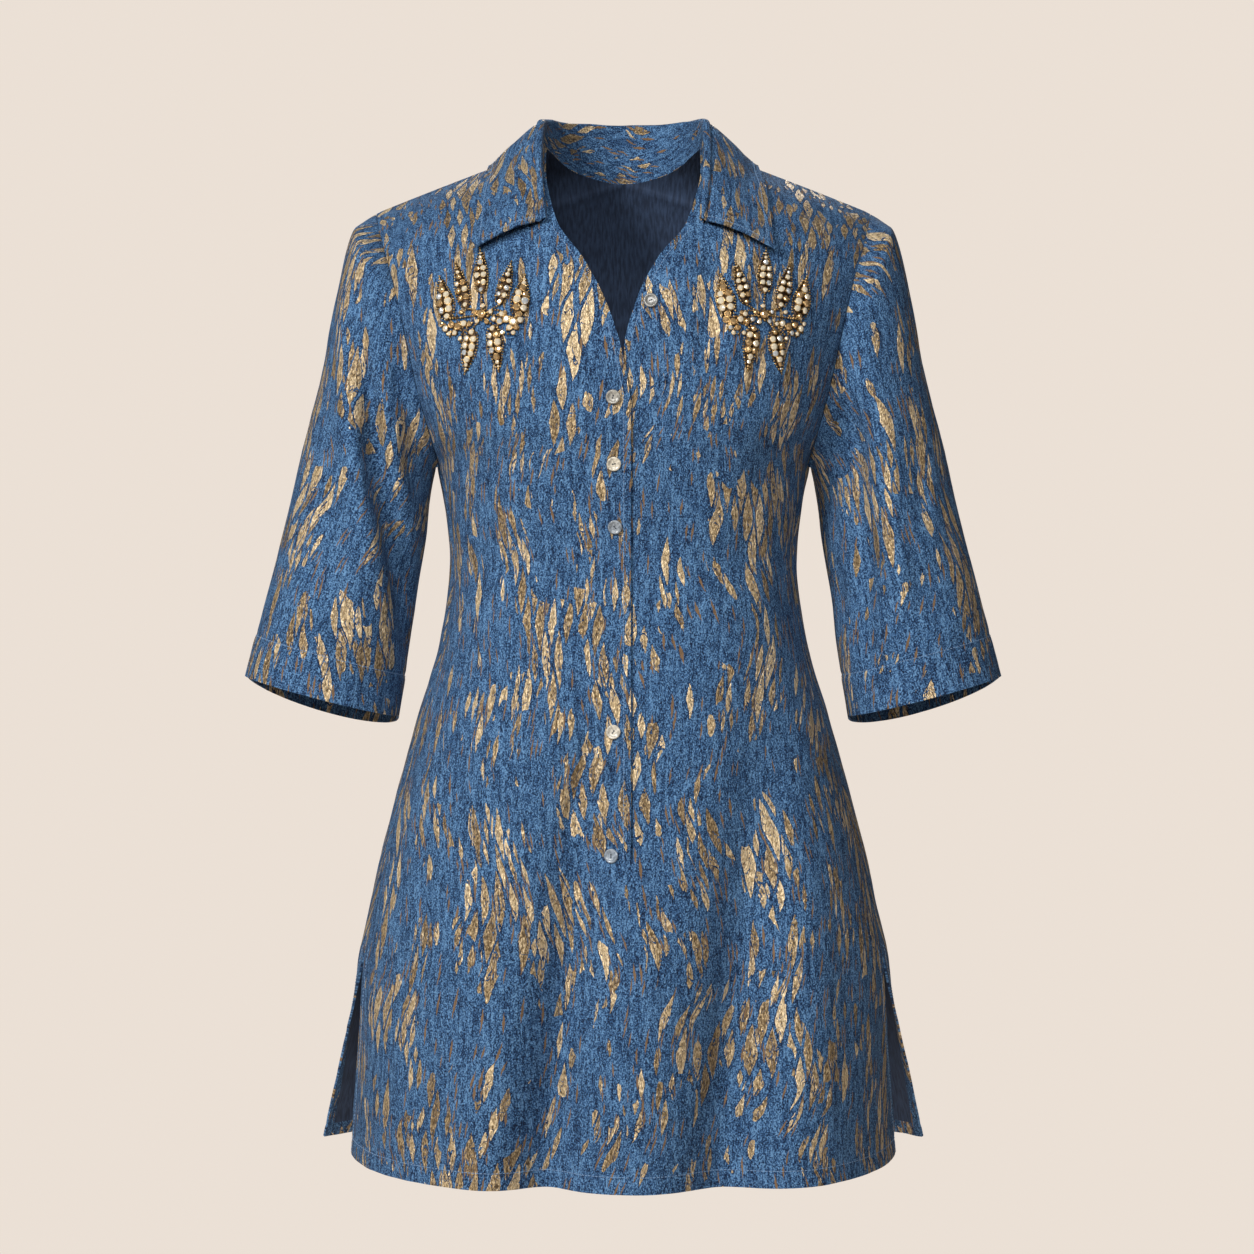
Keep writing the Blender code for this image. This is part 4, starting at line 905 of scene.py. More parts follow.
def sleeve_grid(side, front_creases, seed):
    """One sleeve with its creases: points, outward directions, places on the cloth and thickness."""
    surface, body_out, turns = sleeve_rings(side)
    normals = tube_normals(surface)
    down = distances(surface, 0)
    from_cuff = down[-1:] - down
    places = sleeve_places(surface)
    facing_front = ease(np.sin(turns) * 1.5 + 0.5)[None, :]
    x, z = surface[..., 0], surface[..., 2]
    depth = crease_depth(x, z, front_creases) * facing_front
    depth += crease_depth(x, z, SLEEVE_BACK) * (1 - facing_front)
    depth += relief(places[..., 0], places[..., 1], seed) * ease(abs(np.cos(turns / 2)) * 12)[None, :]
    turned = ease((CUFF_TURN - from_cuff) / TURN_EDGE)
    rise = depth * ease(down / CAP_FADE) + CAP_ROLL * ease(down / CAP_ROLL_WIDTH) + TURN_RISE * turned
    rise -= CUFF_DITCH * np.exp(-(((from_cuff - CUFF_TURN) / CUFF_DITCH_WIDTH) ** 2))
    points = surface + normals * rise[..., None]
    normals = tube_normals(points)
    alike = ease((np.sum(normals[0] * body_out, axis=1) - 0.1) * 2.5)[:, None]
    normals[0] = unit(normals[0] * (1 - alike) + body_out * alike)
    closing = places[:, :1] + [2 * math.pi * ARM_RADIUS, 0]
    thick = CLOTH * (1 + turned)
    groups = (points, normals, thick)
    points, normals, thick = (np.concatenate([group, group[:, :1]], axis=1) for group in groups)
    return points * [side, 1, 1], normals * [side, 1, 1], np.concatenate([places, closing], axis=1), thick


for name, side, creases, shift in (
    ("sleeve_right", -1, RIGHT_SLEEVE_FRONT, (2.10, 0.85)),
    ("sleeve_left", 1, LEFT_SLEEVE_FRONT, (3.05, 1.40)),
):
    points, normals, places, thick = sleeve_grid(side, creases, 20 + side)
    rings, sides = points.shape[:2]
    faces = grid_faces(rings, sides)
    piece = cloth_object(
        name + "_cloth", points.reshape(-1, 3), faces if side > 0 else faces[:, ::-1],
        normals.reshape(-1, 3), places.reshape(-1, 2) + shift, thick.ravel(),
    )
    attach(piece, "root")
    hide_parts(name)
    from_cuff = distances(points, 0)[-1:] - distances(points, 0)
    line = across_at(points.swapaxes(0, 1), normals.swapaxes(0, 1), from_cuff.T, CUFF_TURN)
    stitches(name + "_stitching", [line])


# The collar: one piece of doubled cloth that stands up from the neck seam, rolls over and falls on the
# shoulders to two points. Its edges are stitched a little way in. Each row is a section, from the
# front end to the centre back.
CollarRow = namedtuple("CollarRow", "name base roll edge")
COLLAR = (
    CollarRow("front", (0.0618, -0.0893, -0.0760), (0.0623, -0.0958, -0.0722), (0.1182, -0.1000, -0.0965)),
    CollarRow("throat", (0.0636, -0.0620, -0.0455), (0.0666, -0.0715, -0.0385), (0.1156, -0.0660, -0.0630)),
    CollarRow("side", (0.0648, -0.0290, -0.0145), (0.0688, -0.0330, -0.0015), (0.1124, -0.0290, -0.0340)),
    CollarRow("shoulder", (0.0645, 0.0000, 0.0008), (0.0676, 0.0010, 0.0232), (0.1092, 0.0050, -0.0140)),
    CollarRow("turn", (0.0540, 0.0290, -0.0070), (0.0586, 0.0340, 0.0285), (0.0910, 0.0540, -0.0110)),
    CollarRow("back_turn", (0.0310, 0.0560, -0.0165), (0.0328, 0.0610, 0.0310), (0.0510, 0.0860, -0.0170)),
    CollarRow("back", (0.0000, 0.0670, -0.0210), (0.0000, 0.0710, 0.0315), (0.0000, 0.0970, -0.0200)),
)
COLLAR_STEPS, STAND_STEPS, ROLL_STEPS, FALL_STEPS = 110, 10, 14, 34
ROLL_RADIUS = 0.0032
COLLAR_THICK = 0.0016
COLLAR_CLEARANCE = COLLAR_THICK + 0.0016
COLLAR_STITCH = 0.0055
COLLAR_BOW, COLLAR_LIFT = 0.0018, 0.0032
COLLAR_DITCH, COLLAR_DITCH_WIDTH = 0.0003, 0.0016
COLLAR_WAVE, COLLAR_WAVE_SIZE, COLLAR_FADE = 0.0005, (0.024, 0.030), 0.02


def surface_tree(names):
    """A search tree over the right side of some panels."""
    points, faces = [], []
    for name in names:
        for side in (-1, 1):
            grid = panels.points[name, side]
            made = grid_faces(*grid.shape[:2], len(points))
            faces += (made if (side > 0) == (name == "front") else made[:, ::-1]).tolist()
            points += grid.reshape(-1, 3).tolist()
    return BVHTree.FromPolygons(points, faces)


def laid_on(point, tree, height):
    """The nearest place to the point that is at that height over the panels' right side."""
    place, normal, _, _ = tree.find_nearest(Vector(point))
    return np.array(place + normal * height)


def clear_of(point, tree, least):
    """The point, moved out if it lies nearer than least to the panels' right side."""
    place, normal, _, _ = tree.find_nearest(Vector(point))
    height = (Vector(point) - place).dot(normal)
    return np.array(point if height >= least else place + normal * least)


def collar_half(tree):
    places = np.linspace(0, len(COLLAR) - 1, COLLAR_STEPS + 1)
    guides = []
    for key in CollarRow._fields[1:]:
        values = np.array([getattr(row, key) for row in COLLAR])
        past_centre = values[-2] * [-1, 1, 1]
        guides.append(through(places, range(len(COLLAR) + 1), [*values, past_centre]))
    base, roll, edge = guides
    base = np.array([laid_on(point, tree, CLOTH + 0.0004) for point in base])
    stand = np.linalg.norm(roll - base, axis=1, keepdims=True)
    up = (roll - base) / stand
    out = edge - base
    out = unit(out - up * np.sum(out * up, axis=1, keepdims=True))
    radius = np.minimum(ROLL_RADIUS, stand * 0.45)
    centre = roll - up * radius
    inside, outside = centre - out * radius, centre + out * radius
    sections = [base + (inside - base) * k / STAND_STEPS for k in range(STAND_STEPS)]
    for k in range(ROLL_STEPS):
        turn = math.pi * (1 - k / ROLL_STEPS)
        sections.append(centre + (out * math.cos(turn) + up * math.sin(turn)) * radius)
    for k in range(FALL_STEPS + 1):
        share = k / FALL_STEPS
        bow = COLLAR_BOW * math.sin(math.pi * min(1, share * 1.15) ** 0.7)
        lift = COLLAR_LIFT * ease(1 - places / 1.8)[:, None] * math.sin(math.pi * share**0.8)
        sections.append(outside + (edge - outside) * share + up * (bow + lift))
    half = np.stack(sections, axis=1)
    for row in half:
        for k in range(STAND_STEPS + ROLL_STEPS, len(row)):
            row[k] = clear_of(row[k], tree, COLLAR_CLEARANCE)
    return half


half = collar_half(surface_tree(("front", "back")))
collar = np.concatenate([half, half[:-1][::-1] * [-1, 1, 1]])
across, along = distances(collar, 1), distances(collar, 0)
along = np.repeat(along[:, -8:-7], collar.shape[1], axis=1)
collar_from_edge = across[:, -1:] - across
collar_from_ends = along, along[-1:] - along
from_end = np.minimum(*collar_from_ends)
inward = np.minimum(collar_from_edge, from_end)
collar_out = unit(np.cross(np.gradient(collar, axis=1), np.gradient(collar, axis=0)))
stitched = np.exp(-(((inward - COLLAR_STITCH) / COLLAR_DITCH_WIDTH) ** 2))
free = ease(across / 0.006)
soft = pucker(across, along, COLLAR_WAVE_SIZE, 40) * COLLAR_WAVE
soft = soft * ease(from_end / COLLAR_FADE) * ease(collar_from_edge / COLLAR_FADE)
collar += collar_out * ((relief(across, along, 41) * 0.8 + soft - COLLAR_DITCH * stitched) * free)[..., None]
collar_out = unit(np.cross(np.gradient(collar, axis=1), np.gradient(collar, axis=0)))
collar_places = np.stack([across, along], axis=2)
rounded = COLLAR_THICK * (0.72 + 0.28 * ease(inward / 0.002))
piece = cloth_object(
    "collar_cloth", collar.reshape(-1, 3), grid_faces(*collar.shape[:2])[:, ::-1],
    collar_out.reshape(-1, 3), collar_places.reshape(-1, 2) + (4.20, 2.10), rounded.ravel(),
)
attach(piece, "root")
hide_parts("collar")
fall = slice(STAND_STEPS + ROLL_STEPS, -3)
lines = []
for from_this_end in collar_from_ends:
    line, rise = across_at(collar.swapaxes(0, 1), collar_out.swapaxes(0, 1), from_this_end.T, COLLAR_STITCH)
    lines.append((line[fall], rise[fall]))
line, rise = across_at(collar, collar_out, collar_from_edge, COLLAR_STITCH)
lines.append((line[3:-3], rise[3:-3]))
stitches("collar_stitching", lines)


# The button band: a strip of the same cloth behind the placket, sewn to the wearer's left edge. The
# buttons go through it, and it closes the slit from behind.
BAND_IN, BAND_OUT = -0.018, 0.024
BAND_TOP, BAND_FOOT = -0.188, -0.578
BAND_BEHIND = 0.0024
BAND_COLUMNS, BAND_ROWS = 15, 100

columns = np.linspace(BAND_IN, BAND_OUT, BAND_COLUMNS)
heights = np.linspace(BAND_FOOT, BAND_TOP, BAND_ROWS)
rows = slice(0, row_at(NECK_POINT) + 12)
band = np.zeros((len(heights), len(columns), 3))
for c, x in enumerate(columns):
    half = panels.points["front", -1 if x < LAP_X else 1][rows]
    order = np.argsort(half[0, :, 0])
    y = [np.interp(x, line[order, 0], line[order, 1]) for line in half]
    band[:, c] = np.stack([np.full(len(heights), x), np.interp(heights, half[:, 0, 2], y), heights], axis=1)
band[..., 1] = band[..., 1].max(axis=1, keepdims=True) + BAND_BEHIND
band[..., 1] += 0.0003 * pucker(band[..., 0], band[..., 2], (0.012, 0.020), 50)
band_out = unit(np.cross(np.gradient(band, axis=1), np.gradient(band, axis=0)))
piece = cloth_object(
    "button_band_cloth", band.reshape(-1, 3), grid_faces(*band.shape[:2]), band_out.reshape(-1, 3),
    band[..., [0, 2]].reshape(-1, 2) + (5.0, 3.0), np.full(band.shape[0] * band.shape[1], CLOTH),
)
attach(piece, "root")
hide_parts("button_band")


# The buttons: six small pearly ones with a raised rim, sewn through two holes. One sits alone on the
# wearer's left front beside the neck, the others down the placket. They differ a little in tone.
BUTTON_RADIUS, BUTTON_THICK = 0.0056, 0.0024
BUTTON_SIDES = 48
HOLE_APART, HOLE_RADIUS = 0.0019, 0.00062
THREAD_ACROSS, THREAD_HIGH = 0.00045, 0.00035
Button = namedtuple("Button", "name x z tone turn")
BUTTONS = (
    Button("button_neck", 0.0212, -0.1403, (0.215, 0.215, 0.205), 20),
    Button("button_1", -0.0078, -0.2150, (0.320, 0.305, 0.270), 75),
    Button("button_2", -0.0072, -0.2660, (0.600, 0.550, 0.450), 10),
    Button("button_3", -0.0062, -0.3145, (0.240, 0.270, 0.305), 130),
    Button("button_4", -0.0074, -0.4730, (0.580, 0.540, 0.460), 55),
    Button("button_5", -0.0087, -0.5680, (0.250, 0.295, 0.350), 95),
)
# A button's section, as shares of its radius and its thickness, from the middle of its face round
BUTTON_PROFILE = (
    (0.0, 0.70), (0.34, 0.70), (0.58, 0.72), (0.66, 0.86), (0.74, 0.97), (0.84, 1.0), (0.93, 0.94),
    (0.99, 0.74), (1.0, 0.52), (0.96, 0.24), (0.86, 0.05), (0.72, 0.0), (0.0, 0.0),
)


def pearl(name, tone):
    """Pearly plastic, a little clouded."""
    made = plain_material(name, tone, 0.30)
    tree = made.node_tree
    shader = tree.nodes["Principled BSDF"]
    place = add_node(tree, "ShaderNodeTexCoord").outputs["Object"]
    clouds = {"Scale": 320.0, "Detail": 3.0, "Distortion": 1.2}
    clouded = add_node(tree, "ShaderNodeTexNoise", place, named=clouds).outputs["Fac"]
    darker, lighter = [c * 0.62 for c in tone], [min(1, c * 1.5) for c in tone]
    tree.links.new(ramp(tree, clouded, (darker, lighter), (0.35, 0.68)), shader.inputs["Base Color"])
    shader.inputs["Coat Weight"].default_value = 0.5
    shader.inputs["Coat Roughness"].default_value = 0.15
    return made


def on_panel(tree, x, z):
    """The place on the front's right side straight behind a point in front of it, and the way it faces."""
    place, normal, _, _ = tree.ray_cast(Vector((x, -1.0, z)), Vector((0, 1, 0)))
    return np.array(place), np.array(normal)


def new_piece(name, shape, *materials):
    """An object from a bmesh, with one sharp edge wherever two of its faces meet at a steep angle."""
    mesh = bpy.data.meshes.new(name)
    shape.to_mesh(mesh)
    shape.free()
    for material in materials:
        mesh.materials.append(material)
    mesh.shade_smooth()
    mesh.set_sharp_from_angle(angle=math.radians(40))
    made = bpy.data.objects.new(name, mesh)
    bpy.context.scene.collection.objects.link(made)
    return made


front_side = surface_tree(("front",))
thread = plain_material("button thread", (0.030, 0.034, 0.045), 0.8)
for button in BUTTONS:
    place, normal = on_panel(front_side, button.x, button.z)
    shape = bmesh.new()
    rings = []
    for radius, height in BUTTON_PROFILE:
        count = BUTTON_SIDES if radius else 1
        rings.append([
            shape.verts.new((
                radius * BUTTON_RADIUS * math.cos(2 * math.pi * k / count),
                radius * BUTTON_RADIUS * math.sin(2 * math.pi * k / count), height * BUTTON_THICK,
            )) for k in range(count)
        ])
    for inner, outer in zip(rings, rings[1:]):
        for k in range(BUTTON_SIDES):
            n = (k + 1) % BUTTON_SIDES
            inner_pair = inner[k % len(inner)], inner[n % len(inner)]
            outer_pair = outer[k % len(outer)], outer[n % len(outer)]
            corners = [inner_pair[0], *outer_pair, inner_pair[1]]
            shape.faces.new(list(dict.fromkeys(corners)))
    face = BUTTON_PROFILE[0][1] * BUTTON_THICK
    for way in (-1, 1):
        hole = bmesh.ops.create_circle(shape, cap_ends=True, segments=12, radius=HOLE_RADIUS)["verts"]
        bmesh.ops.translate(shape, verts=hole, vec=(way * HOLE_APART / 2, 0, face + 0.00004))
        for corner in {corner for vert in hole for corner in vert.link_faces}:
            corner.material_index = 1
    bar = bmesh.ops.create_cube(shape, size=1.0)["verts"]
    bmesh.ops.scale(shape, verts=bar, vec=(HOLE_APART, THREAD_ACROSS, THREAD_HIGH))
    bmesh.ops.translate(shape, verts=bar, vec=(0, 0, face + 0.00012))
    for corner in {corner for vert in bar for corner in vert.link_faces}:
        corner.material_index = 1
    made = new_piece(button.name + "_pearl", shape, pearl(button.name + " pearl", button.tone), thread)
    turn = Vector(normal).to_track_quat("Z", "Y").to_matrix().to_4x4()
    made.data.transform(turn @ Matrix.Rotation(math.radians(button.turn), 4, "Z"))
    made.location = place + normal * 0.0002
    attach(made, "root")
    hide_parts(button.name)


# The beaded sprays: one on each side of the chest, sewn on. Leaves stand round a stone in the middle: each
# has a near-black backing, dark bronze with painted shade in the gaps between its stones, stones in cups two
# by two, and beads round its edge and up to its tip.
Leaf = namedtuple("Leaf", "x z turn length half_width height")
SPRAY_X, SPRAY_Z = 0.1085, -0.1500
SPRAY_LEAVES = (
    Leaf(-0.0270, -0.0030, -9, 0.033, 0.0070, 0.0042),
    Leaf(-0.0130, 0.0070, -14, 0.034, 0.0050, 0.0046),
    Leaf(0.0010, 0.0170, 3, 0.035, 0.0056, 0.0050),
    Leaf(0.0130, 0.0060, 14, 0.036, 0.0056, 0.0046),
    Leaf(0.0275, -0.0020, 12, 0.034, 0.0070, 0.0044),
    Leaf(0.0080, -0.0110, 170, 0.033, 0.0062, 0.0044),
    Leaf(-0.0080, -0.0090, 188, 0.034, 0.0062, 0.0046),
)
# A leaf's half width and height, as shares of its own, at shares of its length
LEAF_SHARES = (0.0, 0.16, 0.42, 0.72, 1.0)
LEAF_WIDTHS = (0.40, 0.86, 1.0, 0.66, 0.14)
LEAF_HEIGHTS = (0.55, 0.90, 1.0, 0.80, 0.40)
# Rows of stones up a leaf: where, how many side by side, and their size as a share of the half width
StoneRow = namedtuple("StoneRow", "share count size")
STONE_ROWS = (
    StoneRow(0.07, 1, 0.52), StoneRow(0.23, 2, 0.42), StoneRow(0.40, 2, 0.43), StoneRow(0.56, 2, 0.42),
    StoneRow(0.71, 1, 0.58), StoneRow(0.83, 1, 0.55), StoneRow(0.93, 1, 0.56),
)
# Loose stones in clusters on both sides of the middle: across and up from it, and their size
CLUSTER_STONES = (
    (0.0145, -0.0062, 0.0024), (0.0192, -0.0082, 0.0026), (0.0243, -0.0066, 0.0023),
    (0.0290, -0.0092, 0.0025), (0.0218, -0.0130, 0.0019), (0.0262, -0.0134, 0.0017),
    (0.0100, -0.0068, 0.0017), (0.0318, -0.0052, 0.0016), (-0.0285, -0.0052, 0.0024),
    (-0.0236, -0.0066, 0.0026), (-0.0186, -0.0046, 0.0025), (-0.0136, -0.0060, 0.0022),
    (-0.0150, -0.0004, 0.0020), (-0.0208, -0.0112, 0.0020), (-0.0256, -0.0112, 0.0017),
    (-0.0092, -0.0040, 0.0018),
)
# Curls of beads with a stone here and there, beside the middle: points from the boss
CURLS = (
    ((0.004, 0.003), (0.010, 0.005), (0.017, 0.003), (0.023, -0.001), (0.030, -0.001)),
    ((-0.004, 0.002), (-0.011, 0.003), (-0.018, 0.000), (-0.020, -0.004), (-0.026, -0.009)),
    ((0.012, -0.010), (0.016, -0.014), (0.018, -0.019), (0.015, -0.022), (0.013, -0.019)),
    ((-0.010, -0.009), (-0.014, -0.014), (-0.020, -0.016), (-0.024, -0.015)),
)
BEAD, STEM_BEAD = 0.00085, 0.00095
# A backing's width and height, as shares of its leaf's
BACKING_WIDTH, BACKING_HEIGHT = 0.78, 0.42
# Round the boss: how far out a ring lies, how many there are in it and their size
Boss = namedtuple("Boss", "radius count size")
BOSS_STONE, BOSS_BEADS, BOSS_STONES = 0.0030, Boss(0.0044, 9, 0.0011), Boss(0.0068, 5, 0.0017)
BOSS_HEIGHT = 0.0014
GILT, CHAMPAGNE, AMBER, CLEAR, BRONZE_AND_SHADE = 0, 1, 2, 3, 4


def ball():
    shape = bmesh.new()
    bmesh.ops.create_icosphere(shape, subdivisions=2, radius=1.0)
    made = [tuple(v.co) for v in shape.verts], [tuple(v.index for v in f.verts) for f in shape.faces]
    shape.free()
    return made


def ring(radius, height, sides, offset=0.0):
    """Points round a circle, one for each side; offset turns them by a share of a side."""
    turns = (2 * math.pi * (k + offset) / sides for k in range(sides))
    return [(radius * math.cos(turn), radius * math.sin(turn), height) for turn in turns]


def cut_stone(sides=8):
    """A stone cut with a flat table and two rows of facets, one unit wide and standing on its girdle."""
    points, faces = [], []
    for radius, height, offset in ((0.94, 0.0, 0.0), (1.0, 0.30, 0.0), (0.84, 0.62, 0.5), (0.52, 0.86, 0.0)):
        points += ring(radius, height, sides, offset)
    for row in range(3):
        for k in range(sides):
            a, b = row * sides + k, row * sides + (k + 1) % sides
            faces += [(a, b, b + sides), (a, b + sides, a + sides)]
    faces.append(tuple(3 * sides + k for k in range(sides)))
    return points, faces


def cup(sides=12):
    """The gilt cup that holds a stone, with a lip."""
    points, faces = [], []
    for radius, height in ((1.10, -0.5), (1.22, 0.10), (1.20, 0.34), (1.06, 0.40), (0.96, 0.30)):
        points += ring(radius, height, sides)
    for row in range(4):
        for k in range(sides):
            a, b = row * sides + k, row * sides + (k + 1) % sides
            faces.append((a, b, b + sides, a + sides))
    return points, faces


BALL, STONE, CUP = ball(), cut_stone(), cup()


class Spray:
    """Gathers the beads, stones and backings of one spray, laid on the front, into one piece."""

    def __init__(self, side):
        self.side = side
        self.points, self.faces, self.kinds, self.flat = [], [], [], []
        self.chance = np.random.default_rng(70 + side)

    def place(self, x, z):
        return on_panel(front_side, self.side * (SPRAY_X + x), SPRAY_Z + z)

    def add(self, form, middle, axes, size, kind, flat=False):
        points, faces = form
        first = len(self.points)
        self.points += (np.array(points) * size @ axes + middle).tolist()
        self.faces += [tuple(first + k for k in face) for face in faces]
        self.kinds += [kind] * len(faces)
        self.flat += [flat] * len(faces)

    def axes(self, normal, lean=(0, 0), turn=0.0):
        """Three directions for a form, the last one out of the cloth and leaning by lean."""
        out = unit(normal + np.array([lean[0] * self.side, 0, lean[1]]))
        first = unit(np.cross([0, 0, 1.0], out))
        second = np.cross(out, first)
        c, s = math.cos(turn), math.sin(turn)
        return np.stack([first * c + second * s, second * c - first * s, out])

    def bead(self, x, z, height, size):
        middle, normal = self.place(x, z)
        size = size * self.chance.uniform(0.88, 1.12)
        self.add(BALL, middle + normal * height, self.axes(normal), size, GILT)

    def stone(self, x, z, height, size, lean=(0, 0)):
        middle, normal = self.place(x, z)
        lean = np.array(lean) + self.chance.uniform(-0.16, 0.16, 2)
        axes = self.axes(normal, lean, self.chance.uniform(0, 1))
        kind = self.chance.choice([CHAMPAGNE, AMBER, CLEAR], p=[0.62, 0.25, 0.13])
        self.add(CUP, middle + normal * height, axes, size, GILT)
        self.add(STONE, middle + normal * height, axes, size, kind, True)

    def leaf(self, leaf):
        turn = math.radians(leaf.turn)
        along = np.array([math.sin(turn), math.cos(turn)])
        across = np.array([math.cos(turn), -math.sin(turn)])
        foot = np.array([leaf.x, leaf.z])
        shares = np.linspace(0, 1, 13)
        widths = leaf.half_width * through(shares, LEAF_SHARES, LEAF_WIDTHS)
        heights = leaf.height * BACKING_HEIGHT * through(shares, LEAF_SHARES, LEAF_HEIGHTS)
        section = ((-1, 0.10), (-0.92, 0.45), (-0.5, 0.85), (0, 1), (0.5, 0.85), (0.92, 0.45), (1, 0.10))
        points = []
        for share, width, height in zip(shares, widths, heights):
            for step, rise in section:
                at = foot + along * leaf.length * share + across * width * BACKING_WIDTH * step
                middle, normal = self.place(*at)
                points.append(middle + normal * (0.0004 + height * rise))
        faces = grid_faces(13, len(section)).tolist()
        flip = self.side < 0
        self.add((points, [f[::-1] if flip else f for f in faces]), 0, np.eye(3), 1, BRONZE_AND_SHADE)
        for row in STONE_ROWS:
            width = leaf.half_width * float(through([row.share], LEAF_SHARES, LEAF_WIDTHS)[0])
            height = leaf.height * BACKING_HEIGHT * float(through([row.share], LEAF_SHARES, LEAF_HEIGHTS)[0])
            for step in (0.0,) if row.count == 1 else (-0.44, 0.44):
                at = foot + along * leaf.length * row.share + across * width * step
                self.stone(*at, height + 0.0003, row.size * width, across * step * 0.7)
        reach = int(leaf.length / (BEAD * 2.5))
        for k in range(1, reach):
            share = k / reach
            width = leaf.half_width * float(through([share], LEAF_SHARES, LEAF_WIDTHS)[0])
            for way in (-1, 1):
                at = foot + along * leaf.length * share + across * width * way
                self.bead(*at, 0.0011, BEAD)
        for share, size in ((0.99, 0.00115), (1.05, 0.00085)):
            self.bead(*(foot + along * leaf.length * share), leaf.height * 0.40, size)

    def string(self, points, size, height, stones=()):
        """A run of beads along a line, with stones at some shares of it."""
        points = np.array(points)
        along = distances(points, 0)
        count = int(along[-1] / (size * 2.05))
        for k in range(count + 1):
            share = k / count
            at = [float(through([share * along[-1]], along, points[:, n])[0]) for n in (0, 1)]
            if not any(abs(share - s) * along[-1] < 0.0022 for s in stones):
                self.bead(*at, height, size)
        for share in stones:
            at = [float(through([share * along[-1]], along, points[:, n])[0]) for n in (0, 1)]
            self.stone(*at, height, 0.0016)

    def finish(self, name):
        mesh = bpy.data.meshes.new(name)
        mesh.from_pydata(self.points, [], self.faces)
        for material in (gilt, champagne, amber, clear, bronze_and_shade):
            mesh.materials.append(material)
        mesh.polygons.foreach_set("material_index", np.array(self.kinds, np.int32))
        mesh.polygons.foreach_set("use_smooth", ~np.array(self.flat))
        made = bpy.data.objects.new(name, mesh)
        bpy.context.scene.collection.objects.link(made)
        return made


def worn_gilt():
    """Gilt metal, darker in places."""
    made = plain_material("gilt", (0.62, 0.42, 0.19), 0.28, 1.0)
    tree = made.node_tree
    place = add_node(tree, "ShaderNodeTexCoord").outputs["Object"]
    worn = add_node(tree, "ShaderNodeTexNoise", place, named={"Scale": 420.0, "Detail": 3.0})
    colour = ramp(tree, worn.outputs["Fac"], ((0.12, 0.070, 0.026), (0.62, 0.42, 0.19)), (0.36, 0.60))
    tree.links.new(colour, tree.nodes["Principled BSDF"].inputs["Base Color"])
    return made


gilt = worn_gilt()
champagne = plain_material("champagne stone", (0.98, 0.88, 0.68), 0.10, 0.45)
amber = plain_material("amber stone", (0.68, 0.46, 0.23), 0.14, 0.70)
# Clear stones are tinted a little blue-grey: painted reflection of the blue cloth round them
clear = plain_material("clear stone", (0.80, 0.86, 0.90), 0.08, 0.60)
# The backing is near black: partly dark bronze, partly painted shade that darkens the gaps between the stones
bronze_and_shade = plain_material("bronze backing with painted shade", (0.045, 0.025, 0.012), 0.45, 0.7)
for name, side in (("spray_right", -1), ("spray_left", 1)):
    spray = Spray(side)
    for leaf in SPRAY_LEAVES:
        spray.leaf(leaf)
        foot = np.array([leaf.x, leaf.z])
        spray.string([foot * 0.2, foot * 0.6, foot], STEM_BEAD, 0.0012)
    for curl in CURLS:
        spray.string(curl, STEM_BEAD, 0.0012, (0.5, 0.97))
    for x, z, size in CLUSTER_STONES:
        spray.stone(x, z, 0.0016, size)
        for k in range(4):
            turn = spray.chance.uniform(0, 2 * math.pi)
            spray.bead(x + 1.35 * size * math.cos(turn), z + 1.35 * size * math.sin(turn), 0.0009, BEAD)
    spray.stone(0, 0, 0.0022, BOSS_STONE)
    for x, z, height in ring(BOSS_BEADS.radius, BOSS_HEIGHT, BOSS_BEADS.count):
        spray.bead(x, z, height, BOSS_BEADS.size)
    for x, z, height in ring(BOSS_STONES.radius, BOSS_HEIGHT, BOSS_STONES.count, 0.3):
        spray.stone(x, z, height, BOSS_STONES.size)
    piece = spray.finish(name + "_beads")
    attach(piece, "root")
    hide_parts(name)


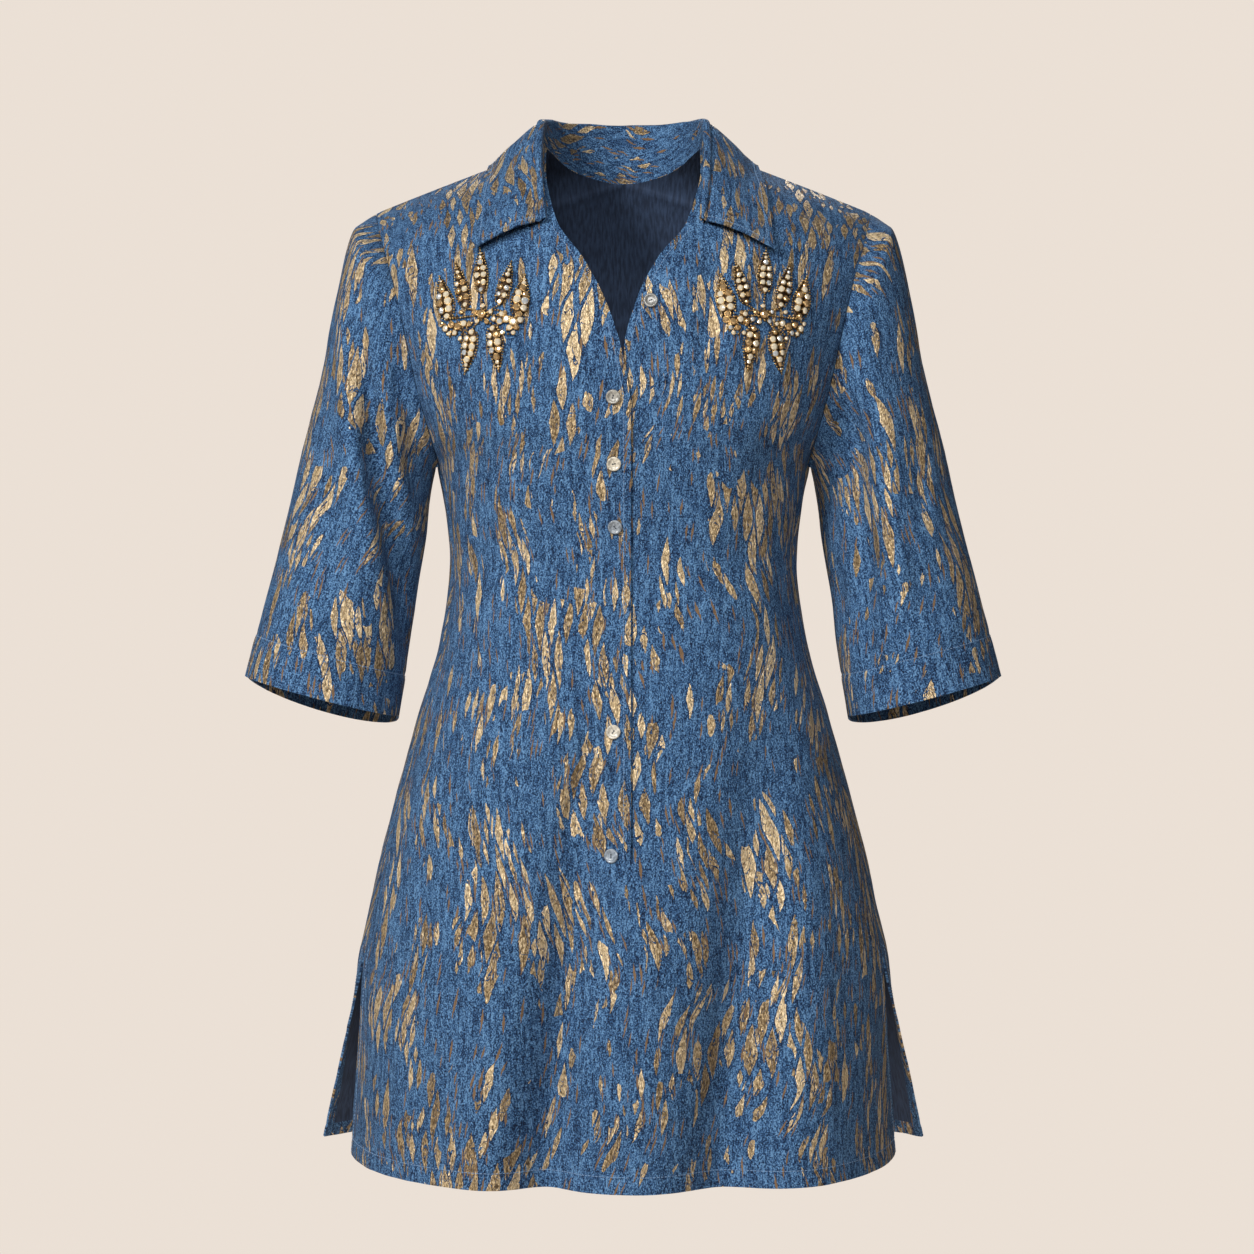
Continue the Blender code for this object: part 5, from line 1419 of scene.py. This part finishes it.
# The setting. The tunic hangs as worn in front of a plain pale ground, seen straight on from the
# height of the hips. The main soft light stands high on the left, a weaker one in front and one behind.
PICTURE_WIDTH = 1254
FOCAL_PIXELS = 2592
CAMERA_AT = (0.0030, -2.12, -0.392)
GROUND_COLOUR = (0.830, 0.745, 0.668)
GROUND_LIGHT = 0.09
LIGHTS_AIM = (0, 0, -0.4)
SoftLight = namedtuple("SoftLight", "name place size watts colour")
SOFT_LIGHTS = (
    SoftLight("key_light", (-1.88, -2.39, 1.15), 0.8, 88, (1.0, 0.985, 0.96)),
    SoftLight("front_light", (-0.05, -3.1, 0.9), 1.3, 55, (1.0, 0.99, 0.97)),
    SoftLight("back_light", (0.2, 3.2, 1.6), 1.8, 74, (1.0, 0.98, 0.96)),
)
FLOOR_HALF, FLOOR_LEVEL = 2.8, -1.75

camera = bpy.data.objects.new("camera", bpy.data.cameras.new("camera"))
bpy.context.scene.collection.objects.link(camera)
camera.data.sensor_width = 36.0
camera.data.lens = camera.data.sensor_width * FOCAL_PIXELS / PICTURE_WIDTH
camera.location = CAMERA_AT
camera.rotation_euler = (math.pi / 2, 0, 0)
bpy.context.scene.camera = camera
bpy.context.scene.view_settings.view_transform = "Standard"

for light in SOFT_LIGHTS:
    lamp = bpy.data.lights.new(light.name, "AREA")
    lamp.shape = "DISK"
    lamp.size = light.size
    lamp.energy = light.watts
    lamp.color = light.colour
    made = bpy.data.objects.new(light.name, lamp)
    bpy.context.scene.collection.objects.link(made)
    made.location = light.place
    towards = Vector(LIGHTS_AIM) - Vector(light.place)
    made.rotation_euler = towards.to_track_quat("-Z", "Y").to_euler()

world = bpy.data.worlds.new("ground")
world.use_nodes = True
bpy.context.scene.world = world
sky = world.node_tree
sky.nodes["Background"].inputs["Color"].default_value = (*GROUND_COLOUR, 1)
sky.nodes["Background"].inputs["Strength"].default_value = GROUND_LIGHT
seen = sky.nodes.new("ShaderNodeBackground")
seen.inputs["Color"].default_value = (*GROUND_COLOUR, 1)
either = sky.nodes.new("ShaderNodeMixShader")
path = sky.nodes.new("ShaderNodeLightPath")
sky.links.new(path.outputs["Is Camera Ray"], either.inputs[0])
sky.links.new(sky.nodes["Background"].outputs[0], either.inputs[1])
sky.links.new(seen.outputs[0], either.inputs[2])
sky.links.new(either.outputs[0], sky.nodes["World Output"].inputs["Surface"])

floor_mesh = bpy.data.meshes.new("floor")
corners = [(x * FLOOR_HALF, y * FLOOR_HALF, FLOOR_LEVEL) for x, y in ((-1, -1), (1, -1), (1, 1), (-1, 1))]
floor_mesh.from_pydata(corners, [], [(0, 1, 2, 3)])
floor = bpy.data.objects.new("floor", floor_mesh)
bpy.context.scene.collection.objects.link(floor)
floor_mesh.materials.append(plain_material("pale floor", GROUND_COLOUR, 0.9))
